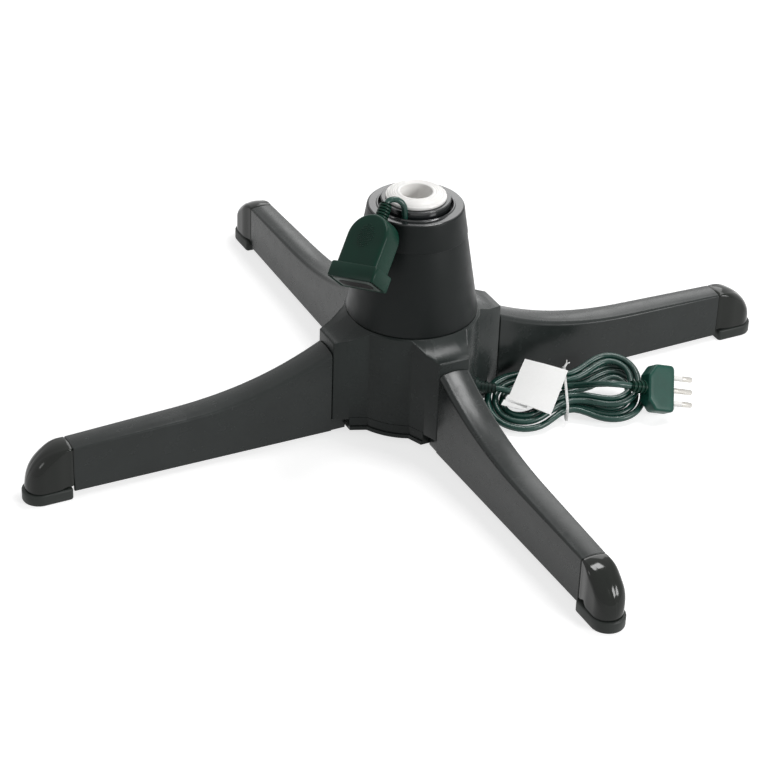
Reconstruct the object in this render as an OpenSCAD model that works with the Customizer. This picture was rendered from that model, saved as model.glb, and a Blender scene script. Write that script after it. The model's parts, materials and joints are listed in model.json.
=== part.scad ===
// Rotating christmas tree stand: four legs on a round hub, a motor-driven rotor that carries the pole
// and a trailing socket, and a mains cord lying beside it in a tied hank.
// Millimetres. Origin on the rotor axis at the floor, +Z up. Leg a points to -X, b to -Y, c to +X, d to +Y.

/* [Legs] */
// Distance from the rotor axis to the seam between leg and end cap
leg_reach = 265; // [230:1:320]
// Height of a leg at its end cap
leg_end_h = 40.5; // [36:0.5:46]
// How much higher a leg is at the hub than at its end cap
leg_rise = 30; // [24:0.5:34]
// Half of a leg's width at its end cap
leg_end_half = 9.3; // [8.5:0.1:11]
// Half of a leg's width at the hub
leg_hub_half = 12; // [11.5:0.1:13]
// Wall of a leg
leg_wall = 2; // [1.6:0.1:2.6]
// Length of an end cap beyond the seam
cap_len = 33; // [30:0.5:38]
// Height of a foot pad
pad_h = 8.5; // [6:0.5:9]

/* [Hub] */
// Radius of the round part of the hub
hub_r = 49.6; // [49:0.1:54]
// Reach of the hub's arms
arm_reach = 68; // [67:0.5:76]
// Wall of the hub
hub_wall = 2.5; // [2:0.1:3]
// Height of the hub's rim above the floor
hub_rim_z = 87; // [86:0.5:92]
// Thickness of the hub's base plate
base_t = 3; // [2.5:0.1:4]

/* [Rotor] */
// Height of the rotor from the hub's rim to the cap's flat rim
rotor_h = 84; // [80:1:100]
// Outer radius of the rotor cap at its top
cap_top_r = 34.2; // [33.5:0.1:35]
// Radius of the sleeve's bore, for a pole without the insert
sleeve_bore_r = 16.25; // [15:0.05:16.5]
// Wall of the pole sleeve
sleeve_wall = 2.75; // [2.5:0.05:3]
// Radius of the hole in the pole insert
pole_hole_r = 11.5; // [9:0.1:12.5]
// Length of the pole insert's body
insert_len = 56; // [40:1:70]

/* [Bearing and drive] */
// Radius of the ball track
race_r = 35; // [34:0.1:36]
// Diameter of a ball
ball_d = 6; // [5.4:0.1:6.2]
// Number of balls
ball_count = 12; // [8:1:16]
// Module of the gears
gear_module = 1; // [1:0.01:1.04]
// Width of the gears
gear_w = 8; // [6:0.5:8]
// Radius of the motor
motor_r = 25; // [22:0.1:25.2]
// Height of the motor can
motor_h = 16; // [12:0.5:16.5]

/* [Cord and socket] */
// Diameter of the mains cord
cord_d = 4.8; // [4.2:0.05:4.9]
// Diameter of the pigtail on the socket
pigtail_d = 4.2; // [3.8:0.05:4.4]
// Width of the socket
socket_w = 34; // [33:0.5:38]
// Thickness of the socket
socket_t = 18; // [17:0.1:18.4]
// Length of the socket
socket_len = 50; // [46:0.5:51]
// Width of the plug across its row of pins
plug_w = 35; // [33:0.5:36]
// Thickness of the plug
plug_t = 13; // [12:0.1:14]
// Length of a plug pin
pin_len = 19; // [17:0.1:19]
// Distance between neighbouring pins
pin_pitch = 9.5; // [9.4:0.05:9.6]

/* [Clearances] */
// Radial gap of the rotor in its bush and of the motor shaft
run_gap = 0.06; // [0.02:0.01:0.1]
// Radial gap of the pole insert in the sleeve
slide_gap = 0.08; // [0.02:0.01:0.1]
// Gap round pieces that are pushed or screwed together
fit_gap = 0.15; // [0.1:0.01:0.25]
// Gap between faces that turn past each other
air_gap = 0.4; // [0.3:0.05:0.6]

/* [Hidden] */
$fn = 96;
leg_az = [180, -90, 0, 90];
shell_col = [0.11, 0.13, 0.125];
rotor_col = [0.09, 0.11, 0.10];
cord_col = [0.05, 0.15, 0.12];

// Longer than any cut that passes through a piece
through = 120;

// Small screws
screw_r = 1.4;
screw_hole_r = screw_r + 0.3;
head_r = 3;
head_h = 2;
head_hole_r = head_r + 0.3;

// Leg: its foot line, its start at the hub and where its back begins to climb
leg_z = 4.5;
leg_x0 = arm_reach + 0.3;
leg_span = leg_reach - leg_x0;
climb_x = leg_x0 + 0.62 * leg_span;
climb_h = leg_rise - 0.03 * leg_span;
leg_round = 1.6;
leg_hub_round = 4;
leg_crown = 0.8;
leg_stations = [0, 0.02, 0.05, 0.09, 0.14, 0.2, 0.27, 0.35, 0.44, 0.54, 0.66, 0.82, 1];
rib_places = [0.24, 0.48, 0.72];
rib_t = 2;
// The tongue lies under the arm's floor and the spigot stands on it
joint_len = 12;
joint_x = arm_reach - joint_len;
floor_z0 = 14;
floor_z1 = 16.5;
tongue_x = joint_x + 1.5;
tongue_h = floor_z0 - leg_z;
spigot_half = leg_hub_half - hub_wall - 1;
spigot_top = 62;
spigot_floor = 8;
tongue_half = leg_hub_half - 0.3;
leg_screw_x = arm_reach - 6;

// End cap and foot pad
cap_half = leg_end_half + 2;
cap_z = pad_h + 0.6;
cap_nose_x = leg_reach + cap_len - cap_half;
plug_in = 12;
pad_half = cap_half + 1;
pad_x = leg_reach + 1.7;
pad_nose_x = leg_reach + cap_len + 2 - pad_half;
pad_edge = 0.8;
peg_r = 4;
peg_len = 6;
shoulder_r = 7;

// Hub
base_z = 5.5;
base_h = 10;
base_top = base_z + base_h;
base_lip = 1;
base_lip_h = 3;
arm_root = leg_hub_half + 10;
arm_bend_x = hub_r - 5;
deck_t = 3;
deck_top = hub_rim_z - 4;
deck_z = deck_top - deck_t;
rim_w = 4;
rim_out = hub_r - 1.6;
rim_in = rim_out - rim_w;
roof_drop = 9;
roof_end_r = rim_out + 20;
roof_r = [100, 68, 63, 58, 53, 50.5];
pillar_r = 4;
pillar_at = joint_x - pillar_r - 2;
pillar_screw_len = 20;

// Rotor: outline of the cone, cap and sleeve
sleeve_r = sleeve_bore_r + sleeve_wall;
cone_z = hub_rim_z + air_gap;
cone_low_r = hub_r - 1.8;
rotor_top = hub_rim_z + rotor_h;
cap_h = 21;
cap_low_z = rotor_top - cap_h;
cap_low_r = cap_top_r + 3.74;
cap_step = 0.5;
cone_slope = (cone_low_r - (cap_low_r - cap_step)) / (cap_low_z - cone_z);
cone_wall = 2.5;
collar_r = 24.9;
collar_h = 5.2;
collar_top = rotor_top + collar_h;
groove_z = rotor_top - 5;
bead_r = 27;
sleeve_top = rotor_top - 1;
sleeve_bottom = 46;
sleeve_floor = 2.5;

// Ball bearing between the deck and the turntable
ball_z = deck_top + ball_d / 2 + 2;
race_half_w = 5;
race_gap = 0.3;
race_cover = 0.6;
race_low_top = ball_z - ball_d / 2 + race_cover;
race_up_bottom = ball_z + ball_d / 2 - race_cover;
race_up_top = race_up_bottom + 2.6;
cage_half_h = 1.1;
turntable_z = race_up_top;
turntable_t = 4;
turntable_top = turntable_z + turntable_t;
turntable_r = cone_low_r - 4.8;
ledge_t = 2.5;
rotor_screw_at = 37;
bush_r = sleeve_r + 4;
bush_z = deck_z - 4;

// Drive: the pinion stands beside the drive gear, over the motor's gearbox
drive_teeth = 48;
pinion_teeth = 16;
gear_z = 50;
mesh_r = gear_module * (drive_teeth + pinion_teeth) / 2;
motor_az = 135;
motor_at = 19;
motor_z = 18.5;
gearbox_z = motor_z + motor_h;
gearbox_h = 9.5;
gearbox_r = motor_r - 0.5;
ear_at = motor_r + 4;
ear_half = 3.5;
ear_t = 2.5;
shaft_r = 2.5;

// Slip rings and brushes
drum_z = 60;
drum_h = 14;
drum_r = sleeve_r + 5;
ring_out = drum_r + 1;
ring_at = [2, 8];
ring_h = 3;
brush_az = 225;
brush_in = ring_out + 0.3;
brush_side = 2.4;
holder_in = ring_out + 2;
holder_len = 11;
holder_w = 14;

// Supply inlet in the hub's wall between legs b and c
inlet_az = -34;
inlet_z = 24;
gland_flange_r = 6.8;
gland_neck_r = 5.1;
gland_in = hub_r - hub_wall - 0.6;
gland_out = hub_r + 0.1;
gland_flange_t = 2.2;
relief_end = 65;
relief_ribs = 5;
clamp_at = 34;
clamp_len = 7;
clamp_half = 8;
cord_bore_r = cord_d / 2 + 0.05;

// Pole insert
insert_r = sleeve_bore_r - slide_gap;
insert_z = collar_top - insert_len;
flange_r = 21.8;
flange_edge = 1.2;
dome_h = 4.8;

// Socket: mouth centre, then the directions up its length and along its width
socket_at = [-66.6, -42.3, 142.4];
socket_up = unit([0.58, 0.45, 0.678]);
socket_side = unit(across([0.453, -0.871, 0.191], socket_up));
socket_flange = 3;
socket_flange_h = 12;
socket_edge = 2.5;
pigtail_relief_len = 11;
pigtail_bore_r = pigtail_d / 2 + 0.05;
pigtail_az = 224.5;
pigtail_notch_r = pigtail_d / 2 + 0.35;
pigtail_step = 14;          // between the rings of its upright part

// Plug: centre, then the directions towards its pins and along its row of pins
plug_at = [165, -82, 21.5];
plug_dir = unit([0.949, -0.104, -0.297]);
plug_row = unit(across([0.3, 0.585, 0.754], plug_dir));
plug_len = 22.5;
plug_taper = 6;
plug_edge = 2;
plug_relief_len = 12;
pin_r = 2;
pin_root = 6;
sleeve_len = 10;
sleeve_core_r = 1.4;

// Hank: centre of its waist, its plan direction and tilt, and the shape of its outer loop
hank_at = [108, -50.6, 15.5];
hank_az = -24;
hank_tilt = 20;
hank_turns = 5;
hank_reach = [57, 64];      // half lengths to the right and to the left of the waist
hank_nose = [33, 30];       // radii of the noses
hank_shift = [4, -6];       // how far each nose sits to one side
hank_waist = 16.6;          // half width at the waist
hank_neck = 24;             // how far the waist's draw reaches
hank_square = 0.3;          // squareness of the noses
hank_step = cord_d + 0.65;  // between neighbouring loops
hank_layer = cord_d + 1.4;  // between the layers
hank_yaw = [-2, 8];         // the way the lower and the upper layer lie
hank_climb = 0.4;           // part of a turn in which the cord climbs
hank_swing = 0.1;           // part of a turn in which the yaw changes
hank_from = 0.01;
hank_to = 4.917;
hank_rings = 32;            // rings in a loop
tie_w = 2;
tie_t = 1;
tie_at = [-3.3, -2.5, 1.1]; // centre of the ring, in the hank's frame
tie_span = [41.4, 13.8];    // inside of the ring across the runs and through the layers
tie_round = 3;
tie_end_len = 7;
tag_z = 11.7;
tag_t = 0.6;
tag_corners = [[-32, 22], [-1, 10.5], [-14.5, -27], [-21, -32.5], [-25.5, -27],
    [-34, -25.5], [-48, -23], [-53, -18], [-48, -15.5]];

// Where the cords lie free: from the inlet to the hank, from the hank to the plug, and the pigtail
lead_points = [[58.2, -39, 23.4], [62.8, -41.3, 21.6], [68.3, -43, 18.9], [74.2, -44.4, 16.5],
    [81.2, -45.6, 14.6], [88.4, -46.8, 13.4], [96.3, -47.2, 12.8], [104.9, -47.7, 13]];
tail_points = [[82.5, -37.6, 19.4], [86.8, -39.4, 19.4], [93, -42.4, 19.3], [99.4, -45.3, 19.3],
    [105.4, -48.7, 19.9], [110.4, -53.3, 21.6], [114.2, -58.6, 24.2], [117.3, -64.1, 27.1],
    [120.6, -69.6, 29.9], [125.2, -74.4, 31.7], [131.3, -77.6, 31.6]];
pigtail_points = [[-30.2, -14.3, 184.7], [-29.1, -14, 185.4], [-27.8, -14, 185.9],
    [-26.5, -14.1, 186.1], [-25.1, -14.4, 186.1], [-23.7, -14.8, 185.8], [-22.4, -15.3, 185.3],
    [-21.2, -15.8, 184.5], [-20.1, -16.3, 183.5], [-19.1, -16.8, 182.1], [-18.4, -17.1, 180.5],
    [-18, -17.4, 178.7], [-17.8, -17.5, 176.5]];

function unit(v) = v / norm(v);
function across(v, n) = v - n * (v * n);
function polar(r, a, z = 0) = [r * cos(a), r * sin(a), z];
function smooth(x) = let (c = min(max(x, 0), 1)) c * c * (3 - 2 * c);
function sum_to(v, i) = i < 1 ? 0 : v[i - 1] + sum_to(v, i - 1);

// Angles that turn X, Y and Z into three given directions
function euler(x, y, z) = [atan2(y[2], z[2]), -asin(x[2]), atan2(x[1], x[0])];
module placed(at, x, z) translate(at) rotate(euler(x, cross(z, x), z)) children();

// Skin over a row of rings, each counter-clockwise as seen from the last ring's side
module skin(rings) {
    n = len(rings[0]);
    last = (len(rings) - 1) * n;
    polyhedron(
        points = [for (ring = rings) each ring],
        faces = concat(
            [[for (k = [0 : n - 1]) k], [for (k = [n - 1 : -1 : 0]) last + k]],
            [for (i = [0 : len(rings) - 2], k = [0 : n - 1])
                let (a = i * n + k, b = i * n + (k + 1) % n) each [[a, a + n, b + n], [a, b + n, b]]]
        ));
}

// Tube along a path, with its rings kept from twisting
module tube(path, d, sides) {
    last = len(path) - 1;
    dirs = [for (i = [0 : last]) unit(path[min(i + 1, last)] - path[max(i - 1, 0)])];
    side0 = abs(dirs[0][2]) < 0.9 ? [0, 0, 1] : [1, 0, 0];
    sides_of = [for (i = 0, e = unit(across(side0, dirs[0])); i <= last;
        i = i + 1, e = unit(across(e, dirs[min(i, last)]))) e];
    skin([for (i = [0 : last])
        let (e = sides_of[i], f = cross(dirs[i], e))
            [for (k = [0 : sides - 1])
                path[i] + d / 2 * (cos(360 * k / sides) * e + sin(360 * k / sides) * f)]]);
}

function path_len(p) = sum_to([for (i = [1 : len(p) - 1]) norm(p[i] - p[i - 1])], len(p) - 1);

module ring(r_in, r_out, z0, z1) {
    translate([0, 0, z0]) difference() {
        cylinder(r = r_out, h = z1 - z0);
        translate([0, 0, -1]) cylinder(r = r_in, h = z1 - z0 + 2);
    }
}

module post(at, r, z0, z1) translate([at[0], at[1], z0]) cylinder(r = r, h = z1 - z0, $fn = 48);

// Screw with its head's seat at z and its shank of a given length going up, or down when flipped
module screw(at, z, len, up = true) {
    translate([at[0], at[1], z]) rotate([up ? 0 : 180, 0, 0]) {
        difference() {
            translate([0, 0, -head_h]) cylinder(r = head_r, h = head_h, $fn = 32);
            for (a = [0, 90]) rotate(a) translate([-0.4, -1.8, -head_h - 1]) cube([0.8, 3.6, 2]);
        }
        cylinder(r = screw_r, h = len, $fn = 24);
    }
}

// ---- legs, end caps and foot pads, in a frame with +X along the leg ----

function leg_top(x) = leg_end_h + 0.03 * (leg_reach - x)
    + (x < climb_x ? climb_h * ((climb_x - x) / (climb_x - leg_x0)) ^ 2.35 : 0);
function leg_edge(x) = leg_round + (leg_hub_round - leg_round) * (leg_reach - x) / leg_span;
function leg_half(x) = leg_end_half + (leg_hub_half - leg_end_half) * (leg_reach - x) / leg_span;

// Cross-section with a rounded and slightly crowned top
function section(x, half, z0, z1, rx, rz, crown) = let (
    top = z1 - crown,
    arc = [for (a = [0, 30, 60, 90]) [half - rx + rx * cos(a), top - rz + rz * sin(a)]],
    flat = half - rx)
    [for (p = concat([[-half, z0], [half, z0]], arc,
        [[flat / 2, z1 - crown / 4], [0, z1], [-flat / 2, z1 - crown / 4]],
        [for (k = [3 : -1 : 0]) [-arc[k][0], arc[k][1]]])) [x, p[0], p[1]]];

module leg_cavity() {
    x0 = leg_x0 + 2.5;
    x1 = leg_reach + 1;
    side = [for (f = leg_stations) let (x = x0 + (x1 - x0) * f)
        [x, leg_top(x) - leg_wall - leg_crown]];
    intersection() {
        rotate([90, 0, 0]) linear_extrude(height = 2 * leg_hub_half, center = true)
            polygon(concat([[x0, leg_z - 1]], side, [[x1, leg_z - 1]]));
        linear_extrude(height = through) polygon([
            [x0, -leg_half(x0) + leg_wall], [x1, -leg_end_half + leg_wall],
            [x1, leg_end_half - leg_wall], [x0, leg_half(x0) - leg_wall]]);
    }
}

module leg() {
    difference() {
        skin([for (f = leg_stations) let (x = leg_x0 + leg_span * f)
            section(x, leg_half(x), leg_z, leg_top(x), leg_edge(x), leg_edge(x), leg_crown)]);
        difference() {
            leg_cavity();
            for (f = rib_places) translate([leg_x0 + leg_span * f, -leg_hub_half, leg_z + 5])
                cube([rib_t, 2 * leg_hub_half, through]);
        }
    }
    difference() {
        union() {
            translate([tongue_x, -tongue_half, leg_z])
                cube([leg_x0 - tongue_x + 0.5, 2 * tongue_half, tongue_h]);
            translate([joint_x, -spigot_half, floor_z1 + 0.1])
                cube([leg_x0 - joint_x + 0.5, 2 * spigot_half, spigot_top - floor_z1 - 0.1]);
        }
        translate([joint_x - 1, leg_wall - spigot_half, floor_z1 + spigot_floor])
            cube([joint_len, 2 * (spigot_half - leg_wall), spigot_top - floor_z1 - spigot_floor - leg_wall]);
        post([leg_screw_x, 0], head_hole_r, leg_z - 1, leg_z + 2.5);
        post([leg_screw_x, 0], screw_hole_r, leg_z, floor_z0);
        post([leg_screw_x, 0], screw_r, floor_z0, floor_z1 + spigot_floor - 1);
    }
}

cap_stations = [0, 0.09, 0.2, 0.32, 0.44, 0.55, 0.66, 0.75, 0.83, 0.9, 0.95, 0.98, 0.997];
function cap_half_at(x) = x > cap_nose_x
    ? sqrt(max(cap_half ^ 2 - (x - cap_nose_x) ^ 2, 1))
    : leg_end_half + (cap_half - leg_end_half) * smooth((x - leg_reach) / 14);
function cap_top_at(x) = let (x0 = leg_reach + 3)
    cap_z + (leg_end_h - cap_z) * (x < x0 ? 1 : sqrt(1 - ((x - x0) / (cap_len - 3)) ^ 2 * 0.995));

module end_cap() {
    difference() {
        union() {
            skin([for (f = cap_stations)
                let (x = leg_reach + cap_len * f, w = cap_half_at(x), z = cap_top_at(x), s = smooth(f * 1.3),
                    rx = leg_round + (0.8 * w - leg_round) * s,
                    rz = min(leg_round + 7 * s, z - cap_z - leg_crown - 0.3))
                    section(x, w, cap_z, z, min(rx, 0.9 * w), rz, leg_crown * (1 - 0.5 * s))]);
            translate([leg_reach - plug_in, leg_wall + fit_gap - leg_end_half, leg_z + 6])
                cube([plug_in + 1, 2 * (leg_end_half - leg_wall - fit_gap),
                    leg_end_h - leg_wall - leg_crown - fit_gap - leg_z - 6]);
        }
        post([pad_nose_x - 2, 0], peg_r + 0.1, 0, pad_h + peg_len + 0.4);
    }
}

module foot_pad() {
    module plan(d) {
        translate([pad_nose_x, 0]) circle(r = pad_half + d);
        translate([pad_x - d, -pad_half - d]) square([pad_nose_x - pad_x + d, 2 * (pad_half + d)]);
    }
    linear_extrude(height = pad_h - pad_edge) plan(0);
    translate([0, 0, pad_h - pad_edge]) linear_extrude(height = pad_edge) plan(-pad_edge / 2);
    post([pad_nose_x - 2, 0], shoulder_r, pad_h - 0.1, cap_z);
    post([pad_nose_x - 2, 0], peg_r, pad_h - 0.1, pad_h + peg_len);
}

module leg_n(i) color(shell_col) rotate(leg_az[i]) leg();
module end_cap_n(i) color([0.08, 0.09, 0.09]) rotate(leg_az[i]) end_cap();
module foot_pad_n(i) color([0.10, 0.11, 0.11]) rotate(leg_az[i]) foot_pad();

// ---- hub ----

module hub_plan(d) {
    circle(r = hub_r + d);
    for (a = leg_az) rotate(a) polygon([
        [0, -arm_root - d], [arm_bend_x, -arm_root - d], [arm_reach + d, -leg_hub_half - d],
        [arm_reach + d, leg_hub_half + d], [arm_bend_x, arm_root + d], [0, arm_root + d]]);
}

// The roof falls in a hollow curve from the rim to the arms' ends
function roof_at(r) = hub_rim_z - roof_drop * (1 - (max(roof_end_r - r, 0) / 20) ^ 1.8);
module under_roof(drop, flat_r, flat_z) rotate_extrude() polygon(concat(
    [[0, 0], [roof_r[0], 0]],
    [for (r = roof_r) [r, roof_at(r) - drop]],
    [[flat_r, roof_at(rim_out) - drop], [flat_r, flat_z], [0, flat_z]]));

module hub_shell() color(shell_col) {
    difference() {
        union() {
            intersection() {
                translate([0, 0, base_top]) linear_extrude(height = 100) hub_plan(0);
                under_roof(0, rim_out, hub_rim_z);
            }
            intersection() {
                translate([0, 0, floor_z0]) linear_extrude(height = base_top - floor_z0 + 0.1) hub_plan(0);
                for (a = [0, 90]) rotate(a) difference() {
                    translate([-arm_reach, -arm_root, 0]) cube([2 * arm_reach, 2 * arm_root, through]);
                    translate([-joint_x - 1, -arm_root - 1, -1])
                        cube([2 * joint_x + 2, 2 * arm_root + 2, through + 2]);
                }
            }
        }
        difference() {
            intersection() {
                translate([0, 0, base_top - 4]) linear_extrude(height = 100) hub_plan(-hub_wall);
                under_roof(hub_wall, rim_out - 1, deck_z);
            }
            for (a = leg_az) rotate(a) {
                post([pillar_at, 0], pillar_r, base_top, deck_z + 2);
                translate([joint_x + 1, -arm_root, floor_z0])
                    cube([joint_len, 2 * arm_root, floor_z1 - floor_z0]);
            }
        }
        post([0, 0], rim_in, deck_top, hub_rim_z + 1);
        post([0, 0], bush_r + 0.05, deck_z - 1, deck_top + 1);
        for (a = leg_az) rotate(a) {
            post([pillar_at, 0], screw_r, base_top - 1, base_top + pillar_screw_len);
            translate([arm_reach - hub_wall - 1, -spigot_half - fit_gap, floor_z1])
                cube([hub_wall + 2, 2 * (spigot_half + fit_gap), spigot_top - floor_z1 + fit_gap]);
            post([leg_screw_x, 0], screw_hole_r, floor_z0 - 1, floor_z1 + 1);
        }
        rotate(inlet_az) translate([hub_r - hub_wall - 4, 0, inlet_z]) rotate([0, 90, 0])
            cylinder(r = gland_neck_r + fit_gap, h = hub_wall + 8);
    }
}

module base_plate() color(shell_col) {
    difference() {
        union() {
            intersection() {
                union() {
                    translate([0, 0, base_z]) linear_extrude(height = base_lip_h) hub_plan(base_lip);
                    translate([0, 0, base_z]) linear_extrude(height = base_h) hub_plan(0);
                }
                union() {
                    post([0, 0], hub_r + base_lip + 0.4, base_z, base_top);
                    for (a = [0, 90]) rotate(a) translate([-joint_x - 0.5, -arm_root - base_lip, 0])
                        cube([2 * joint_x + 1, 2 * (arm_root + base_lip), through]);
                }
            }
        }
        difference() {
            translate([0, 0, base_z + base_t]) linear_extrude(height = base_h) intersection() {
                hub_plan(-hub_wall - 0.2);
                for (a = [0, 90]) rotate(a) square([2 * joint_x - 4, 2 * arm_root], center = true);
            }
            for (a = leg_az) rotate(a) post([pillar_at, 0], pillar_r + 1, base_z, base_top);
        }
        for (a = leg_az) rotate(a) {
            post([pillar_at, 0], screw_hole_r, base_z - 1, base_top + 1);
            post([pillar_at, 0], head_hole_r, base_z - 1, base_z + 2.5);
        }
    }
    difference() {
        rotate(motor_az) for (s = [-1, 1])
            post([motor_at, s * ear_at], ear_half, base_z + base_t - 0.1, gearbox_z);
        rotate(motor_az) for (s = [-1, 1])
            post([motor_at, s * ear_at], screw_r, gearbox_z - 9, gearbox_z + 1);
    }
    rotate(inlet_az) translate([clamp_at, -clamp_half, base_z + base_t - 0.1])
        cube([clamp_len, 2 * clamp_half, inlet_z - cord_d / 2 - base_z - base_t]);
}

module base_screws() color([0.7, 0.7, 0.7]) for (a = leg_az)
    screw(polar(pillar_at, a), base_z + 2.5, pillar_screw_len);
module leg_screws() color([0.7, 0.7, 0.7]) for (a = leg_az)
    screw(polar(leg_screw_x, a), leg_z + 2.5, floor_z1 + spigot_floor - 2 - leg_z - 2.5);

module upper_bush() color([0.85, 0.83, 0.75]) {
    ring(sleeve_r + run_gap, bush_r, bush_z, deck_top + 0.1);
    ring(sleeve_r + run_gap, bush_r + 3, deck_top, deck_top + 1.2);
}

// ---- ball bearing ----

module track() rotate_extrude() translate([race_r, ball_z]) circle(r = ball_d / 2 + race_gap);
module lower_race() color([0.75, 0.76, 0.78]) difference() {
    ring(race_r - race_half_w, race_r + race_half_w, deck_top, race_low_top);
    track();
}
module upper_race() color([0.75, 0.76, 0.78]) difference() {
    ring(race_r - race_half_w, race_r + race_half_w, race_up_bottom, race_up_top);
    track();
}
module bearing_balls() color([0.8, 0.8, 0.82]) for (i = [0 : ball_count - 1])
    translate(polar(race_r, 360 * i / ball_count, ball_z)) sphere(d = ball_d, $fn = 32);
module ball_cage() color([0.8, 0.78, 0.7]) difference() {
    ring(race_r - 4, race_r + 4, ball_z - cage_half_h, ball_z + cage_half_h);
    for (i = [0 : ball_count - 1])
        post(polar(race_r, 360 * i / ball_count), ball_d / 2 + 0.08, ball_z - 3, ball_z + 3);
}

// ---- rotor ----

function cone_r(z) = cone_low_r - cone_slope * (z - cone_z);

module turntable() color([0.55, 0.56, 0.58]) difference() {
    ring(sleeve_r + 0.02, turntable_r, turntable_z, turntable_top);
    for (a = [30, 150, 270]) post(polar(rotor_screw_at, a), screw_r, turntable_z - 1, turntable_top + 1);
}

module cone_shell() color(rotor_col) difference() {
    rotate_extrude($fn = 160) polygon([
        [cone_low_r, cone_z], [cone_r(cap_low_z), cap_low_z], [cone_r(cap_low_z) - cone_wall, cap_low_z],
        [cone_r(turntable_top + ledge_t) - cone_wall, turntable_top + ledge_t],
        [rotor_screw_at - 4, turntable_top + ledge_t], [rotor_screw_at - 4, turntable_top],
        [cone_r(turntable_top) - cone_wall, turntable_top], [cone_low_r - cone_wall, cone_z]]);
    for (a = [30, 150, 270])
        post(polar(rotor_screw_at, a), screw_hole_r, turntable_top - 1, turntable_top + ledge_t + 1);
}

module rotor_screws() color([0.7, 0.7, 0.7]) for (a = [30, 150, 270])
    screw(polar(rotor_screw_at, a), turntable_top + ledge_t, ledge_t + turntable_t - 0.5, false);

module rotor_cap() color(rotor_col) {
    spigot_r = cone_r(cap_low_z) - cone_wall - fit_gap;
    difference() {
        rotate_extrude($fn = 160) polygon([
            [cap_low_r, cap_low_z], [cap_top_r + 0.3, rotor_top - 1.7], [cap_top_r - 0.1, rotor_top - 0.5],
            [cap_top_r - 1, rotor_top], [bead_r + 0.8, rotor_top], [bead_r + 0.6, rotor_top + 0.5],
            [bead_r, rotor_top + 0.8], [bead_r - 0.5, rotor_top + 0.5], [bead_r - 0.7, rotor_top],
            [bead_r - 0.9, groove_z], [collar_r, groove_z], [collar_r, collar_top - 0.8],
            [collar_r - 0.7, collar_top], [sleeve_bore_r, collar_top], [sleeve_bore_r, sleeve_top],
            [sleeve_r + 0.05, sleeve_top], [sleeve_r + 0.05, groove_z - 3], [spigot_r - 3.2, groove_z - 3],
            [spigot_r - 2, groove_z - 5], [spigot_r - 2, cap_low_z - 6], [spigot_r, cap_low_z - 6],
            [spigot_r, cap_low_z]]);
        post(polar(collar_r + 0.1, pigtail_az), pigtail_notch_r, groove_z - 4, collar_top + 1);
    }
}

module pole_sleeve() color([0.6, 0.61, 0.63]) {
    ring(sleeve_bore_r, sleeve_r, sleeve_bottom, sleeve_top);
    post([0, 0], sleeve_bore_r + 1, sleeve_bottom, sleeve_bottom + sleeve_floor);
}

module gear(teeth, r_bore, z) {
    pitch = gear_module * teeth / 2;
    half = 90 / teeth * 0.84;
    outline = [for (i = [0 : teeth - 1], p = [[-1.25, -1.5], [0.92, -0.5], [0.92, 0.5], [-1.25, 1.5]])
        polar(pitch + p[0] * gear_module, 360 * i / teeth + p[1] * half)];
    translate([0, 0, z]) linear_extrude(height = gear_w) difference() {
        polygon([for (p = outline) [p[0], p[1]]]);
        circle(r = r_bore);
    }
}
module drive_gear() color([0.9, 0.88, 0.8]) gear(drive_teeth, sleeve_r + 0.03, gear_z);
module drive_pinion() color([0.9, 0.88, 0.8])
    rotate(motor_az) translate([mesh_r, 0, 0]) rotate(180 - 180 / pinion_teeth)
        gear(pinion_teeth, shaft_r + 0.03, gear_z);
module motor_shaft() color([0.75, 0.76, 0.78]) rotate(motor_az)
    post([mesh_r, 0], shaft_r, gearbox_z + 3, gear_z + gear_w + 1);

module motor_can() color([0.72, 0.73, 0.75]) rotate(motor_az) translate([motor_at, 0, 0]) difference() {
    rotate_extrude() polygon([[0, motor_z], [motor_r - 1, motor_z], [motor_r, motor_z + 1],
        [motor_r, gearbox_z], [0, gearbox_z]]);
    post([0, 0], 5, motor_z - 1, motor_z + 1.2);
}
module motor_gearbox() color([0.66, 0.67, 0.69]) rotate(motor_az) difference() {
    union() {
        post([motor_at, 0], gearbox_r, gearbox_z, gearbox_z + gearbox_h);
        translate([motor_at - ear_half, -ear_at - ear_half, gearbox_z])
            cube([2 * ear_half, 2 * (ear_at + ear_half), ear_t]);
    }
    for (s = [-1, 1]) post([motor_at, s * ear_at], screw_hole_r, gearbox_z - 1, gearbox_z + ear_t + 1);
    post([mesh_r, 0], shaft_r + run_gap, gearbox_z + 2, gearbox_z + gearbox_h + 1);
}
module motor_screws() color([0.7, 0.7, 0.7]) rotate(motor_az) for (s = [-1, 1])
    screw([motor_at, s * ear_at], gearbox_z + ear_t, 9, false);

// ---- slip rings, brushes and wiring ----

module slip_drum() color([0.2, 0.2, 0.2]) difference() {
    ring(sleeve_r + 0.03, drum_r, drum_z, drum_z + drum_h);
    for (z = ring_at) ring(drum_r - 1, drum_r + 2, drum_z + z, drum_z + z + ring_h);
}
module slip_rings() color([0.8, 0.62, 0.25]) for (z = ring_at)
    ring(drum_r - 1, ring_out, drum_z + z, drum_z + z + ring_h);

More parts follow.
